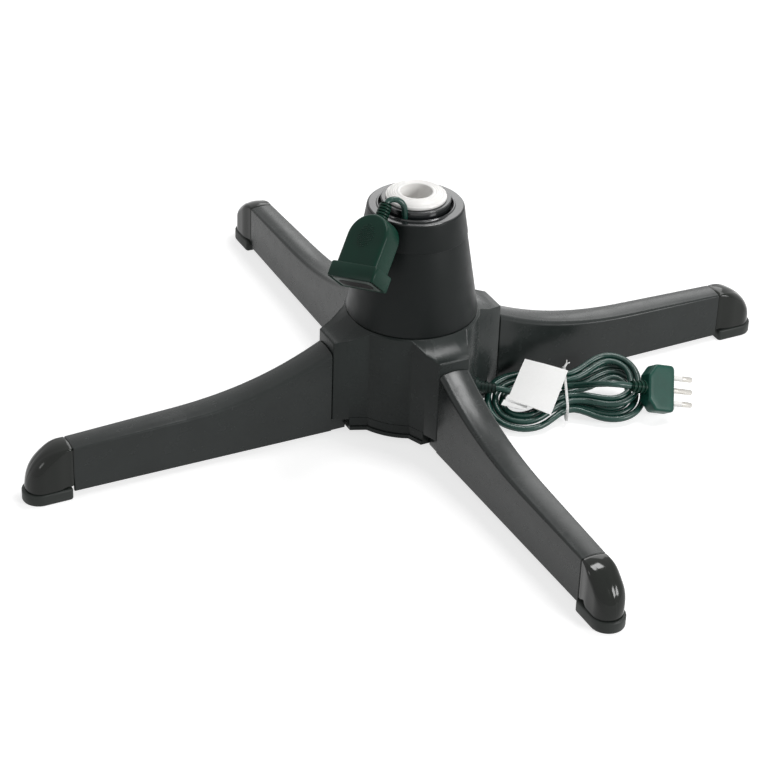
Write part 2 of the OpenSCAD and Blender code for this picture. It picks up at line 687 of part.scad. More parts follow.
module at_brushes() rotate(brush_az) for (z = ring_at)
    translate([0, 0, drum_z + z + ring_h / 2]) children();
module brush_holder() color([0.75, 0.72, 0.62]) {
    difference() {
        rotate(brush_az) union() {
            translate([holder_in, -holder_w / 2, drum_z]) cube([holder_len, holder_w, drum_h]);
            translate([holder_in + 3, -holder_w / 2 + 2, drum_z + drum_h - 0.1])
                cube([holder_len - 3, holder_w - 4, deck_z - drum_z - drum_h + 0.1]);
        }
        at_brushes() translate([0, -brush_side / 2 - 0.1, -brush_side / 2 - 0.1])
            cube([holder_in + holder_len - 1, brush_side + 0.2, brush_side + 0.2]);
    }
}
module brushes() color([0.15, 0.15, 0.16]) at_brushes()
    translate([brush_in, -brush_side / 2, -brush_side / 2]) cube([8, brush_side, brush_side]);
module brush_springs() color([0.8, 0.8, 0.82]) at_brushes()
    translate([brush_in + 8, 0, 0]) rotate([0, 90, 0])
        ring(0.6, 1.1, 0, holder_in + holder_len - 1 - brush_in - 8);

module terminal_block() color([0.88, 0.88, 0.86]) rotate(15) difference() {
    translate([22, -9, base_z + base_t]) cube([14, 18, 12]);
    for (y = [-4.5, 4.5]) {
        translate([20, y, base_z + base_t + 5]) rotate([0, 90, 0]) cylinder(r = 1.6, h = 20, $fn = 24);
        for (x = [26, 32]) post([x, y], 1.8, base_z + base_t + 6, base_z + base_t + 13);
    }
}

module at_inlet() rotate(inlet_az) translate([0, 0, inlet_z]) children();
module along_x(x0, x1, r) translate([x0, 0, 0]) rotate([0, 90, 0]) cylinder(r = r, h = x1 - x0);

module cord_clamp() color([0.85, 0.85, 0.83]) at_inlet() difference() {
    translate([clamp_at, -clamp_half, -cord_d / 2 - 0.1]) cube([clamp_len, 2 * clamp_half, cord_d + 4]);
    along_x(clamp_at - 1, clamp_at + clamp_len + 1, cord_bore_r);
    translate([clamp_at - 1, -cord_bore_r, -cord_d]) cube([clamp_len + 2, 2 * cord_bore_r, cord_d]);
}
module cord_gland() color([0.06, 0.08, 0.08]) at_inlet() difference() {
    union() {
        along_x(gland_in - gland_flange_t, gland_in, gland_flange_r);
        along_x(gland_in - 0.1, gland_out + 0.1, gland_neck_r);
        along_x(gland_out, gland_out + gland_flange_t, gland_flange_r);
    }
    along_x(clamp_at, relief_end, cord_bore_r);
}

// Tapered sleeve from x0 to x1 with open ribs, bored for the cord
module ribbed(x0, x1, r0, r1, bore, count) {
    pitch = (x1 - x0) / count;
    rotate([0, 90, 0]) rotate_extrude($fn = 48) difference() {
        polygon(concat([[bore, x0]],
            [for (i = [0 : count - 1]) let (r = r0 + (r1 - r0) * i / count)
                each [[r, x0 + i * pitch], [r, x0 + (i + 0.62) * pitch],
                    [r - 1, x0 + (i + 0.66) * pitch], [r - 1, x0 + (i + 0.96) * pitch]]],
            [[r1, x1 - pitch * 0.02], [r1, x1], [bore, x1]]));
    }
}
module cord_relief() color([0.06, 0.08, 0.08]) at_inlet()
    ribbed(gland_out + gland_flange_t, relief_end, cord_d / 2 + 2.4, cord_d / 2 + 1.2,
        cord_bore_r, relief_ribs);

// ---- pole insert ----

module pole_insert() color([0.93, 0.92, 0.88]) rotate_extrude($fn = 128) polygon(concat(
    [[pole_hole_r, insert_z], [insert_r, insert_z], [insert_r, collar_top + 0.05],
        [flange_r, collar_top + 0.05], [flange_r, collar_top + flange_edge]],
    [for (i = [0 : 4]) let (r = flange_r - 0.6 - i * (flange_r - pole_hole_r - 1.6) / 4)
        each [[r, insert_dome(r)], [r - 0.6, insert_dome(r) - 0.25]]],
    [[pole_hole_r, collar_top + dome_h - 0.4]]));
function insert_dome(r) = collar_top + flange_edge
    + (dome_h - flange_edge) * sqrt(max(1 - ((r - pole_hole_r) / (flange_r - pole_hole_r)) ^ 2, 0));

// ---- socket on its pigtail; local X along the width, -Y out of the front, Z from the mouth up ----

module at_socket() placed(socket_at, socket_side, socket_up) children();
module slab(t) rotate([90, 0, 0]) linear_extrude(height = t, center = true) children();
module arch(w, h, d) {
    translate([-w / 2 + d, 0]) square([w - 2 * d, h - w / 2]);
    translate([0, h - w / 2]) circle(r = w / 2 - d, $fn = 48);
}
module socket_body() color(cord_col) at_socket() difference() {
    union() {
        hull() {
            slab(socket_t - 2 * socket_edge) arch(socket_w, socket_len, 0);
            slab(socket_t) arch(socket_w, socket_len, socket_edge);
        }
        hull() {
            slab(socket_t - 2) translate([-socket_w / 2 - socket_flange, 0])
                square([socket_w + 2 * socket_flange, socket_flange_h - 2]);
            slab(socket_t + socket_flange) translate([-socket_w / 2, 0])
                square([socket_w, socket_flange_h - 2]);
            slab(socket_t - 2) translate([-socket_w / 2, 0]) square([socket_w, socket_flange_h]);
        }
    }
    translate([-socket_w / 2 + 1, -socket_t / 2 + 1, -1]) cube([socket_w - 2, socket_t - 2, 5]);
    translate([-pin_pitch - 4, -5, 3]) cube([2 * pin_pitch + 8, 10, 19]);
    translate([0, 0, 20]) cylinder(r = pigtail_bore_r, h = socket_len, $fn = 32);
    translate([0, 0, socket_len - 6]) cylinder(r = 4.1, h = 10, $fn = 32);
}
module socket_face() color([0.78, 0.8, 0.76]) at_socket() difference() {
    translate([-socket_w / 2 + 1 + fit_gap, -socket_t / 2 + 1 + fit_gap, 1])
        cube([socket_w - 2 - 2 * fit_gap, socket_t - 2 - 2 * fit_gap, 2.9]);
    for (x = [-1, 0, 1]) translate([x * pin_pitch, 0, -1]) cylinder(r = pin_r + 0.3, h = 8, $fn = 32);
}
module socket_contacts() color([0.8, 0.62, 0.25]) at_socket() for (x = [-1, 0, 1])
    translate([x * pin_pitch, 0, 0]) ring(pin_r + 0.1, pin_r + 0.9, 4, 20);
module pigtail_relief() color(cord_col) at_socket() rotate([0, -90, 0]) difference() {
    union() {
        along_x(socket_len - 6, socket_len + 0.4, 4);
        ribbed(socket_len + 0.3, socket_len + pigtail_relief_len, 4.9, 4.3, pigtail_bore_r, 5);
    }
    along_x(socket_len - 8, socket_len + pigtail_relief_len + 1, pigtail_bore_r);
}

// The pigtail climbs out of the socket, arches over the rim and drops through the notch in the cap
pigtail_leave = socket_at + socket_up * (socket_len + pigtail_relief_len);
pigtail_path = concat(
    [for (s = [24, 36, 48]) socket_at + socket_up * s],
    [pigtail_leave],
    pigtail_points,
    [for (i = [0 : 5]) polar(collar_r + 0.1, pigtail_az, groove_z + 6 - pigtail_step * i)]);
module pigtail() color(cord_col) tube(pigtail_path, pigtail_d, 8);

// ---- plug; local X towards the pins, Z along the row of pins ----

module at_plug() placed(plug_at, plug_dir, plug_row) children();
module plug_plan(d) polygon([
    [-plug_len / 2 + d, -0.55 * plug_w / 2 + d], [-plug_len / 2 + plug_taper + d / 2, -plug_w / 2 + d],
    [plug_len / 2 - 2.5, -plug_w / 2 + d], [plug_len / 2 - d, -plug_w / 2 + 2.5],
    [plug_len / 2 - d, plug_w / 2 - 2.5], [plug_len / 2 - 2.5, plug_w / 2 - d],
    [-plug_len / 2 + plug_taper + d / 2, plug_w / 2 - d], [-plug_len / 2 + d, 0.55 * plug_w / 2 - d]]);
module plug_body() color(cord_col) at_plug() difference() {
    hull() {
        slab(plug_t - 2 * plug_edge) plug_plan(0);
        slab(plug_t) plug_plan(plug_edge);
    }
    for (z = [-1, 0, 1]) translate([0, 0, z * pin_pitch]) along_x(pin_root, plug_len, pin_r + 0.03);
    along_x(-plug_len, -plug_len / 2 + 6, 4.1);
    along_x(-plug_len, -plug_len / 2 + 9, cord_bore_r);
}
module plug_pins() color([0.78, 0.78, 0.74]) at_plug() {
    along_x(pin_root, plug_len / 2 + pin_len, pin_r);
    for (z = [-1, 1]) translate([0, 0, z * pin_pitch]) {
        along_x(pin_root, plug_len / 2, pin_r);
        along_x(pin_root, plug_len / 2 + pin_len, sleeve_core_r);
        along_x(plug_len / 2 + sleeve_len, plug_len / 2 + pin_len, pin_r);
    }
}
module plug_sleeves() color([0.93, 0.93, 0.92]) at_plug() for (z = [-1, 1]) translate([0, 0, z * pin_pitch])
    rotate([0, 90, 0]) ring(sleeve_core_r, pin_r, plug_len / 2, plug_len / 2 + sleeve_len);
module plug_relief() color(cord_col) at_plug() difference() {
    union() {
        along_x(-plug_len / 2 - 0.4, -plug_len / 2 + 5.8, 4);
        mirror([1, 0, 0])
            ribbed(plug_len / 2 + 0.3, plug_len / 2 + plug_relief_len, 5.2, 3.7, cord_bore_r, 4);
    }
    along_x(-plug_len - 5, 0, cord_bore_r);
}

// ---- mains cord ----

// Directions of the hank: along its runs, across them, and out of its face
hank_u = polar(1, hank_az);
hank_v = cos(hank_tilt) * polar(1, hank_az + 90) + [0, 0, sin(hank_tilt)];
hank_n = cross(hank_u, hank_v);
function hank_place(p) = hank_at + p[0] * hank_u + p[1] * hank_v + p[2] * hank_n;

// Outer loop: two round noses and a waist that is drawn in
function loop_at(q) = let (
    c = cos(q), side = c > 0 ? 0 : 1, nose = hank_nose[side],
    f1 = sin(90 * c), f = hank_square * sin(90 * f1) + (1 - hank_square) * f1,
    a = (hank_reach[side] - nose) * f + nose * c,
    draw = exp(-(a / hank_neck) ^ 2))
    [a, sin(q) * (nose - (nose - hank_waist) * draw) + hank_shift[side] * (1 - draw)];

// Point after t turns: each layer's loops lie a step inside each other, the climb is at mid length
function hank_point(t) = let (
    mid = hank_turns / 2, q = 90 - 360 * t,
    dir = unit(loop_at(q - 0.6) - loop_at(q + 0.6)),
    p = loop_at(q) - hank_step * abs(t - mid) * [-dir[1], dir[0]],
    up = smooth((t - mid) / hank_climb + 0.5),
    yaw = hank_yaw[0] + (hank_yaw[1] - hank_yaw[0]) * smooth((t - mid) / hank_swing + 0.5))
    hank_place([p[0] * cos(yaw) - p[1] * sin(yaw), p[0] * sin(yaw) + p[1] * cos(yaw),
        (up - 0.5) * hank_layer]);
function hank_path(rings) = let (n = ceil(hank_turns * rings))
    [for (i = [0 : n]) hank_point(hank_from + (hank_to - hank_from) * i / n)];
function hank_dir(t) = unit(hank_point(t + 0.005) - hank_point(t - 0.005));

// The hank's ends run straight for one diameter, where the lead and the tail meet them
hank_start = hank_point(hank_from) - hank_dir(hank_from) * cord_d;
hank_leave = unit(hank_dir(hank_to) + hank_u);
hank_end = hank_point(hank_to) + hank_leave * cord_d;
lead_path = concat(
    [for (r = [clamp_at - 2, clamp_at + 9, clamp_at + 20, relief_end]) polar(r, inlet_az, inlet_z)],
    lead_points,
    [hank_start - hank_dir(hank_from) * 3, hank_start]);
tail_end = plug_at - plug_dir * (plug_len / 2 + plug_relief_len);
tail_path = concat(
    [hank_end, hank_end + hank_leave * 1.5],
    tail_points,
    [for (s = [-4, 0, 9, plug_relief_len + 8]) tail_end + plug_dir * s]);

module supply_lead() color(cord_col) tube(lead_path, cord_d, 12);
module supply_hank() color(cord_col)
    tube(concat([hank_start], hank_path(hank_rings), [hank_end]), cord_d, 6);
module supply_tail() color(cord_col) tube(tail_path, cord_d, 12);

// Least gap between the hank's turns, measured on points
gap_path = hank_path(72);
hank_gap = min([for (i = [0 : len(gap_path) - 9], j = [i + 9 : len(gap_path) - 1])
    norm(gap_path[i] - gap_path[j])]) - cord_d;
echo(hank_gap = hank_gap, hank_len = path_len(gap_path), lead_len = path_len(lead_path),
    tail_len = path_len(tail_path), pigtail_len = path_len(pigtail_path));

module rounded_rect(w, h, r) {
    square([w - 2 * r, h], center = true);
    square([w, h - 2 * r], center = true);
    for (x = [-1, 1], y = [-1, 1]) translate([x * (w / 2 - r), y * (h / 2 - r)]) circle(r = r, $fn = 32);
}
module at_hank() placed(hank_at, hank_u, hank_n) children();
module cable_tie() color([0.9, 0.9, 0.88]) at_hank() translate(tie_at) {
    rotate([90, 0, 90]) linear_extrude(height = tie_w, center = true) difference() {
        rounded_rect(tie_span[0] + 2 * tie_t, tie_span[1] + 2 * tie_t, tie_round + tie_t);
        rounded_rect(tie_span[0], tie_span[1], tie_round);
    }
    translate([0, tie_span[0] / 2 - tie_round, tie_span[1] / 2 + tie_t + 0.8]) rotate(60)
        along_x(0, tie_end_len, 0.9);
}

// Paper tag lying over the hank's left loops
module cord_tag() color([0.96, 0.96, 0.96]) at_hank()
    translate([0, 0, tag_z]) linear_extrude(height = tag_t) polygon(tag_corners);

hub_shell();
base_plate();
leg_n(0);  // leg_a
leg_n(1);  // leg_b
leg_n(2);  // leg_c
leg_n(3);  // leg_d
end_cap_n(0);  // end_cap_a
end_cap_n(1);  // end_cap_b
end_cap_n(2);  // end_cap_c
end_cap_n(3);  // end_cap_d
foot_pad_n(0);  // foot_pad_a
foot_pad_n(1);  // foot_pad_b
foot_pad_n(2);  // foot_pad_c
foot_pad_n(3);  // foot_pad_d
upper_bush();
lower_race();
bearing_balls();
ball_cage();
upper_race();
turntable();
cone_shell();
rotor_cap();
pole_sleeve();
drive_gear();
slip_drum();
slip_rings();
motor_can();
motor_gearbox();
motor_shaft();
drive_pinion();
brush_holder();
brushes();
brush_springs();
terminal_block();
cord_clamp();
cord_gland();
cord_relief();
pole_insert();
socket_body();
socket_face();
socket_contacts();
pigtail_relief();
pigtail();
supply_lead();
supply_hank();
supply_tail();
cable_tie();
cord_tag();
plug_body();
plug_pins();
plug_sleeves();
plug_relief();
base_screws();
leg_screws();
motor_screws();
rotor_screws();
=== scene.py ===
"""Looks of the rotating christmas tree stand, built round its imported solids.

Lengths are in millimetres in the solids' own frame, and MM turns them into the scene's metres.
"""

import json
import math

import bmesh
import bpy
from mathutils import Matrix, Vector

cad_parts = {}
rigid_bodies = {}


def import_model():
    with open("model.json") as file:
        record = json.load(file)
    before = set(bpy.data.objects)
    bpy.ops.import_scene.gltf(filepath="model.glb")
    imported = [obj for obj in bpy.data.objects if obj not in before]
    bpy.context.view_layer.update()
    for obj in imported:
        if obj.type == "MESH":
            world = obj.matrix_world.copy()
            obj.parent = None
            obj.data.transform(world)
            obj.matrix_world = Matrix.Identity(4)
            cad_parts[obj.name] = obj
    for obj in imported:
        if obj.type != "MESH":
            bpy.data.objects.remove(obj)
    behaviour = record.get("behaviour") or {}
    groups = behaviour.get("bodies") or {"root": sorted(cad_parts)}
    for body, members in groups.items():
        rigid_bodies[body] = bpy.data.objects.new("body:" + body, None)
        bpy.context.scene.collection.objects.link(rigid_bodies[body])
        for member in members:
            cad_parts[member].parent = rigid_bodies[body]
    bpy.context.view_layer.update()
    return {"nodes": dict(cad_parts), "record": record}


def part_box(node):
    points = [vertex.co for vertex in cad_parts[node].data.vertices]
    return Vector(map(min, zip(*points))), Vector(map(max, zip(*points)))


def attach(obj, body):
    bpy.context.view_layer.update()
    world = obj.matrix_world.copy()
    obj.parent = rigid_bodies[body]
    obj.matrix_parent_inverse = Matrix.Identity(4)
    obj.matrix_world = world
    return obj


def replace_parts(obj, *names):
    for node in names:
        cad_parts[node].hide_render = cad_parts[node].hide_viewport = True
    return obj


for old in list(bpy.data.objects):
    bpy.data.objects.remove(old)

MM = 0.001
scene = bpy.context.scene
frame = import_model()

# ---------------------------------------------------------------- sizes from the frame


def span(node, axis):
    """Lowest and highest value of a node along one axis, in millimetres."""
    low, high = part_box(node)
    return low[axis] / MM, high[axis] / MM


SEAM_X = span("leg_c", 0)[1]
LEG_X = 68.3
LEG_Z, LEG_TOP_Z = span("leg_c", 2)
CAP_END_X = span("end_cap_c", 0)[1]
CAP_TOP_Z = span("end_cap_c", 2)[1]
PAD_X, PAD_END_X = span("foot_pad_c", 0)
PAD_HALF = span("foot_pad_c", 1)[1]
PAD_H = 8.5
ARM_REACH = span("hub_shell", 0)[1]
RIM_Z = span("hub_shell", 2)[1]
CONE_R = span("cone_shell", 0)[1]
CONE_Z, CONE_TOP_Z = span("cone_shell", 2)
CAP_R = span("rotor_cap", 0)[1]
COLLAR_Z = span("rotor_cap", 2)[1]
INSERT_Z, INSERT_TOP_Z = span("pole_insert", 2)
INSERT_R = span("pole_insert", 0)[1]
LEG_AZ = {"a": 180, "b": -90, "c": 0, "d": 90}


def polar(r, azimuth, z=0.0):
    a = math.radians(azimuth)
    return Vector((r * math.cos(a), r * math.sin(a), z))


def smooth(x):
    x = min(max(x, 0.0), 1.0)
    return x * x * (3 - 2 * x)


# ---------------------------------------------------------------- camera

LENS = 116.0
CAMERA_AT = Vector((-0.7351, -1.3670, 0.9843))
CAMERA_RIGHT = Vector((0.89419, -0.44670, 0.02978))
CAMERA_BACK = Vector((-0.39357, -0.75264, 0.52785))


def make_camera():
    data = bpy.data.cameras.new("camera")
    data.sensor_width = 36
    data.lens = LENS
    data.clip_start = 0.05
    camera = bpy.data.objects.new("camera", data)
    turn = Matrix((CAMERA_RIGHT, CAMERA_BACK.cross(CAMERA_RIGHT), CAMERA_BACK)).transposed()
    camera.matrix_world = Matrix.Translation(CAMERA_AT) @ turn.to_4x4()
    scene.collection.objects.link(camera)
    scene.camera = camera


make_camera()

# ---------------------------------------------------------------- materials


class Shader:
    """A material under construction, with short names for the nodes that it uses."""

    def __init__(self, name):
        self.material = bpy.data.materials.new(name)
        self.material.use_nodes = True
        self.nodes = self.material.node_tree.nodes
        self.links = self.material.node_tree.links
        self.surface = self.nodes["Principled BSDF"]
        self.place = self.nodes.new("ShaderNodeTexCoord").outputs["Object"]

    def set(self, **values):
        for key, value in values.items():
            self.surface.inputs[key.replace("_", " ")].default_value = value

    def noise(self, scale, detail=3.0, roughness=0.55, stretch=None):
        node = self.nodes.new("ShaderNodeTexNoise")
        node.inputs["Scale"].default_value = scale
        node.inputs["Detail"].default_value = detail
        node.inputs["Roughness"].default_value = roughness
        place = self.place
        if stretch:
            mapping = self.nodes.new("ShaderNodeMapping")
            mapping.inputs["Scale"].default_value = stretch
            self.links.new(self.place, mapping.inputs["Vector"])
            place = mapping.outputs["Vector"]
        self.links.new(place, node.inputs["Vector"])
        return node.outputs["Fac"]

    def ramp(self, fac, stops):
        node = self.nodes.new("ShaderNodeValToRGB")
        elements = node.color_ramp.elements
        while len(elements) < len(stops):
            elements.new(0.5)
        for element, (at, colour) in zip(elements, stops):
            element.position = at
            element.color = (*colour, 1.0)
        self.links.new(fac, node.inputs["Fac"])
        return node.outputs["Color"]

    def spread(self, fac, low, high):
        node = self.nodes.new("ShaderNodeMapRange")
        node.inputs["From Min"].default_value = 0.3
        node.inputs["From Max"].default_value = 0.7
        node.inputs["To Min"].default_value = low
        node.inputs["To Max"].default_value = high
        self.links.new(fac, node.inputs["Value"])
        return node.outputs["Result"]

    def bump(self, height, strength, distance, under=None):
        node = self.nodes.new("ShaderNodeBump")
        node.inputs["Strength"].default_value = strength
        node.inputs["Distance"].default_value = distance
        self.links.new(height, node.inputs["Height"])
        if under is not None:
            self.links.new(under, node.inputs["Normal"])
        return node.outputs["Normal"]

    def link(self, output, name):
        self.links.new(output, self.surface.inputs[name])


def shade(colour, factor):
    return tuple(c * factor for c in colour)


def moulded(
    name, colour, rough, grain, grain_scale=1400.0, mottle=0.12, sheen_spots=0.05, shine=0.5
):
    """Moulded plastic: faint mottling, a fine grain and slow waves from the mould."""
    shader = Shader(name)
    shader.set(Specular_IOR_Level=shine)
    cloud = shader.noise(38.0, 4.0)
    stops = [(0.3, shade(colour, 1 - mottle)), (0.7, shade(colour, 1 + mottle))]
    shader.link(shader.ramp(cloud, stops), "Base Color")
    patches = shader.noise(95.0, 5.0)
    shader.link(shader.spread(patches, rough - sheen_spots, rough + sheen_spots), "Roughness")
    waves = shader.bump(shader.noise(60.0, 2.0), 0.12, 0.0006)
    shader.link(shader.bump(shader.noise(grain_scale, 2.0), 1.0, grain * MM, waves), "Normal")
    return shader.material


def metal(name, colour, rough):
    """Bare or plated metal with fine brushing."""
    shader = Shader(name)
    brushed = (1.0, 1.0, 14.0)
    shader.set(Metallic=1.0)
    stops = [(0.3, shade(colour, 0.88)), (0.7, colour)]
    shader.link(shader.ramp(shader.noise(55.0), stops), "Base Color")
    streaks = shader.noise(240.0, 4.0, stretch=brushed)
    shader.link(shader.spread(streaks, rough - 0.06, rough + 0.08), "Roughness")
    scratches = shader.noise(900.0, 2.0, stretch=brushed)
    shader.link(shader.bump(scratches, 0.5, 0.01 * MM), "Normal")
    return shader.material


def cord_plastic(name, colour, rough, shine):
    """Flexible cord cover, slightly wavy and dusty."""
    shader = Shader(name)
    shader.set(Specular_IOR_Level=shine)
    stops = [(0.25, shade(colour, 0.8)), (0.6, colour), (0.85, shade(colour, 1.35))]
    shader.link(shader.ramp(shader.noise(70.0, 4.0), stops), "Base Color")
    shader.link(shader.spread(shader.noise(160.0, 4.0), rough - 0.08, rough + 0.08), "Roughness")
    shader.link(shader.bump(shader.noise(420.0, 3.0), 0.35, 0.06 * MM), "Normal")
    return shader.material


def card(name, colour):
    """Coated card with faint fibres."""
    shader = Shader(name)
    shader.set(Roughness=0.6)
    stops = [(0.3, shade(colour, 0.97)), (0.7, colour)]
    shader.link(shader.ramp(shader.noise(420.0, 5.0), stops), "Base Color")
    fibres = shader.noise(1500.0, 4.0, stretch=(1, 3, 1))
    shader.link(shader.bump(fibres, 0.6, 0.02 * MM), "Normal")
    return shader.material


SHELL = moulded("shell_plastic", (0.0180, 0.0220, 0.0210), 0.25, grain=0.008, shine=0.30)
HUB = moulded("hub_plastic", (0.0235, 0.0285, 0.0272), 0.25, grain=0.010, shine=0.17)
GLOSS = moulded(
    "cap_plastic", (0.0060, 0.0085, 0.0060), 0.10, grain=0.003, sheen_spots=0.03, shine=0.30
)
PAD = moulded("pad_plastic", (0.0130, 0.0165, 0.0145), 0.5, grain=0.03, shine=0.34)
ROTOR = moulded(
    "rotor_plastic", (0.0045, 0.0066, 0.0064), 0.42, grain=0.02, grain_scale=1800.0, shine=0.18
)
RING = moulded(
    "ring_plastic", (0.0110, 0.0130, 0.0135), 0.16, grain=0.004, sheen_spots=0.04, shine=0.55
)
GREEN = cord_plastic("green_cord", (0.0060, 0.0500, 0.0370), 0.30, shine=0.45)
# Green moulding made darker than the plug's green: the darkening is painted shade, matched to the
# shaded socket.
SHADED_GREEN_BODY = moulded(
    "green_body_painted_shade", (0.0010, 0.0270, 0.0160), 0.34, grain=0.012, mottle=0.2, shine=0.16
)
GREEN_PLUG = moulded(
    "green_plug", (0.0060, 0.0620, 0.0440), 0.36, grain=0.012, mottle=0.2, shine=0.25
)
WHITE = moulded("white_plastic", (0.88, 0.87, 0.85), 0.36, grain=0.006, mottle=0.02)
TIE_WHITE = moulded("tie_white", (0.82, 0.82, 0.81), 0.42, grain=0.01, mottle=0.03)
# The pale face resin is painted dark: its colour carries the shade inside the socket's mouth.
PALE_RESIN_WITH_PAINTED_SHADE = moulded("pale_resin", (0.055, 0.075, 0.065), 0.50, grain=0.01)
# Dark resin of the inner parts; the same colour also paints the shade of the socket's holes.
DARK_RESIN_AND_HOLE_SHADE = moulded("dark_resin", (0.016, 0.015, 0.015), 0.55, grain=0.02, shine=0.2)
RUBBER = moulded("black_rubber", (0.0080, 0.0200, 0.0160), 0.48, grain=0.03, shine=0.25)
ACETAL = moulded("acetal", (0.72, 0.70, 0.62), 0.35, grain=0.01, mottle=0.04)
STEEL = metal("plated_steel", (0.60, 0.61, 0.62), 0.30)
BRASS = metal("bare_brass", (0.72, 0.52, 0.24), 0.28)
PIN_METAL = metal("plated_brass", (0.66, 0.64, 0.60), 0.22)
CARD = card("white_card", (0.96, 0.96, 0.95))

NODE_LOOKS = {
    "acetal": ACETAL,
    "steel": STEEL,
    "dark_resin": DARK_RESIN_AND_HOLE_SHADE,
    "brass": BRASS,
    "tinned_brass": PIN_METAL,
    "light_resin": ACETAL,
    "white_plastic": WHITE,
    "paper": CARD,
    "pale_resin": PALE_RESIN_WITH_PAINTED_SHADE,
    "black_rubber": RUBBER,
    "cord_green": SHADED_GREEN_BODY,
    "shell": HUB,
    "cap_gloss": GLOSS,
    "pad": PAD,
    "rotor_shell": ROTOR,
}


def dress_nodes():
    """Every solid that stays in sight gets the material of its slot."""
    slots = {s["node"]: s["material_slot"] for s in frame["record"]["subparts"]}
    for name, node in frame["nodes"].items():
        for index in range(len(node.material_slots)):
            node.material_slots[index].material = NODE_LOOKS[slots[name]]


dress_nodes()

# ---------------------------------------------------------------- mesh helpers

FLAT_CORNER = 1.56  # half angle, in radians, from which a corner is left as it is


def rounded(corners, steps=4):
    """Closed outline through (x, y, radius) corners, each corner turned into an arc."""
    outline = []
    for i, (x, y, radius) in enumerate(corners):
        corner = Vector((x, y))
        before = Vector(corners[i - 1][:2]) - corner
        after = Vector(corners[(i + 1) % len(corners)][:2]) - corner
        half = before.angle(after) / 2
        if radius <= 0 or half > FLAT_CORNER:
            outline.append((x, y))
            continue
        reach = min(radius / math.tan(half), 0.49 * before.length, 0.49 * after.length)
        before.normalize()
        after.normalize()
        centre = corner + (before + after).normalized() * (reach / math.cos(half))
        first = corner + before * reach - centre
        last = corner + after * reach - centre
        turn = math.atan2(first.x * last.y - first.y * last.x, first.dot(last))
        for k in range(steps + 1):
            a = turn * k / steps
            x = centre.x + first.x * math.cos(a) - first.y * math.sin(a)
            y = centre.y + first.x * math.sin(a) + first.y * math.cos(a)
            outline.append((x, y))
    return outline


def rounded_box(x, y, edge, steps):
    """Outline of a rectangle of half sizes x and y with round corners."""
    return rounded([(-x, -y, edge), (x, -y, edge), (x, y, edge), (-x, y, edge)], steps)


def skin(rings, path_closed=False, ends=True):
    """Points and faces of a surface over rows of closed rings."""
    n = len(rings[0])
    points = [p for ring in rings for p in ring]
    faces = []
    for i in range(len(rings) if path_closed else len(rings) - 1):
        row, after = i * n, (i + 1) % len(rings) * n
        for k in range(n):
            j = (k + 1) % n
            faces.append((row + k, row + j, after + j, after + k))
    if ends and not path_closed:
        faces.append(tuple(reversed(range(n))))
        faces.append(tuple(range((len(rings) - 1) * n, len(rings) * n)))
    return points, faces


def add(name, parts, material, body, sharp=38.0, place=None):
    """One piece made of (points, faces) parts, riding on a body.

    place turns the piece's own frame into the solids' frame.
    """
    bm = bmesh.new()
    for points, faces in parts:
        made = [bm.verts.new(Vector(p) * MM) for p in points]
        for face in faces:
            bm.faces.new([made[k] for k in face])
    bmesh.ops.recalc_face_normals(bm, faces=bm.faces)
    if place is not None:
        bm.transform(place)
    mesh = bpy.data.meshes.new(name)
    bm.to_mesh(mesh)
    bm.free()
    mesh.polygons.foreach_set("use_smooth", [True] * len(mesh.polygons))
    mesh.set_sharp_from_angle(angle=math.radians(sharp))
    mesh.materials.append(material)
    piece = bpy.data.objects.new(name, mesh)
    scene.collection.objects.link(piece)
    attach(piece, body)
    return piece


def lathe(profile, segments=144):
    """Closed (r, z) outline turned about Z."""
    rings = [[polar(r, 360 * i / segments, z) for r, z in profile] for i in range(segments)]
    return skin(rings, path_closed=True)


def rod(profile, segments=32):
    """(r, z) rows from one end of a solid of revolution to the other."""
    return skin([[polar(r, 360 * k / segments, z) for k in range(segments)] for r, z in profile])


def turned(azimuth):
    return Matrix.Rotation(math.radians(azimuth), 4, "Z")


# ---------------------------------------------------------------- cords

CORD_D = 4.8
PIGTAIL_D = 4.2
INLET_AZ = -34.0
INLET_Z = 24.0
RELIEF_END = 65.0
HANK_AT = Vector((108, -50.6, 15.5))
HANK_AZ = -24.0
HANK_TILT = 20.0
HANK_TURNS = 5
HANK_REACH = (57, 64)
HANK_NOSE = (33, 30)
HANK_SHIFT = (4, -6)
HANK_WAIST = 16.6
HANK_NECK = 24
HANK_SQUARE = 0.3
HANK_STEP = CORD_D + 0.65
HANK_LAYER = CORD_D + 1.4
HANK_YAW = (-2, 8)
HANK_CLIMB = 0.4
HANK_SWING = 0.1
HANK_SPAN = (0.01, 4.917)
HANK_RINGS = 90
PLUG_AT = Vector((165, -82, 21.5))
PLUG_DIR = Vector((0.949, -0.104, -0.297)).normalized()
PLUG_LEN = 22.5
PLUG_RELIEF = 12
SOCKET_AT = Vector((-66.6, -42.3, 142.4))
SOCKET_UP = Vector((0.58, 0.45, 0.678)).normalized()
SOCKET_LEN = 50
PIGTAIL_RELIEF = 11
PIGTAIL_AZ = 224.5
PIGTAIL_R = 25.0
PIGTAIL_LOW = (150, 164)
CURVE_STEPS = 6  # rows between neighbouring points of a cord
STRAIGHT_RUN = 4  # straight part of the cord at a strain relief
TAIL_RUN = 1.5  # and where the tail leaves the hank
SOCKET_RUN = 5  # and inside the socket

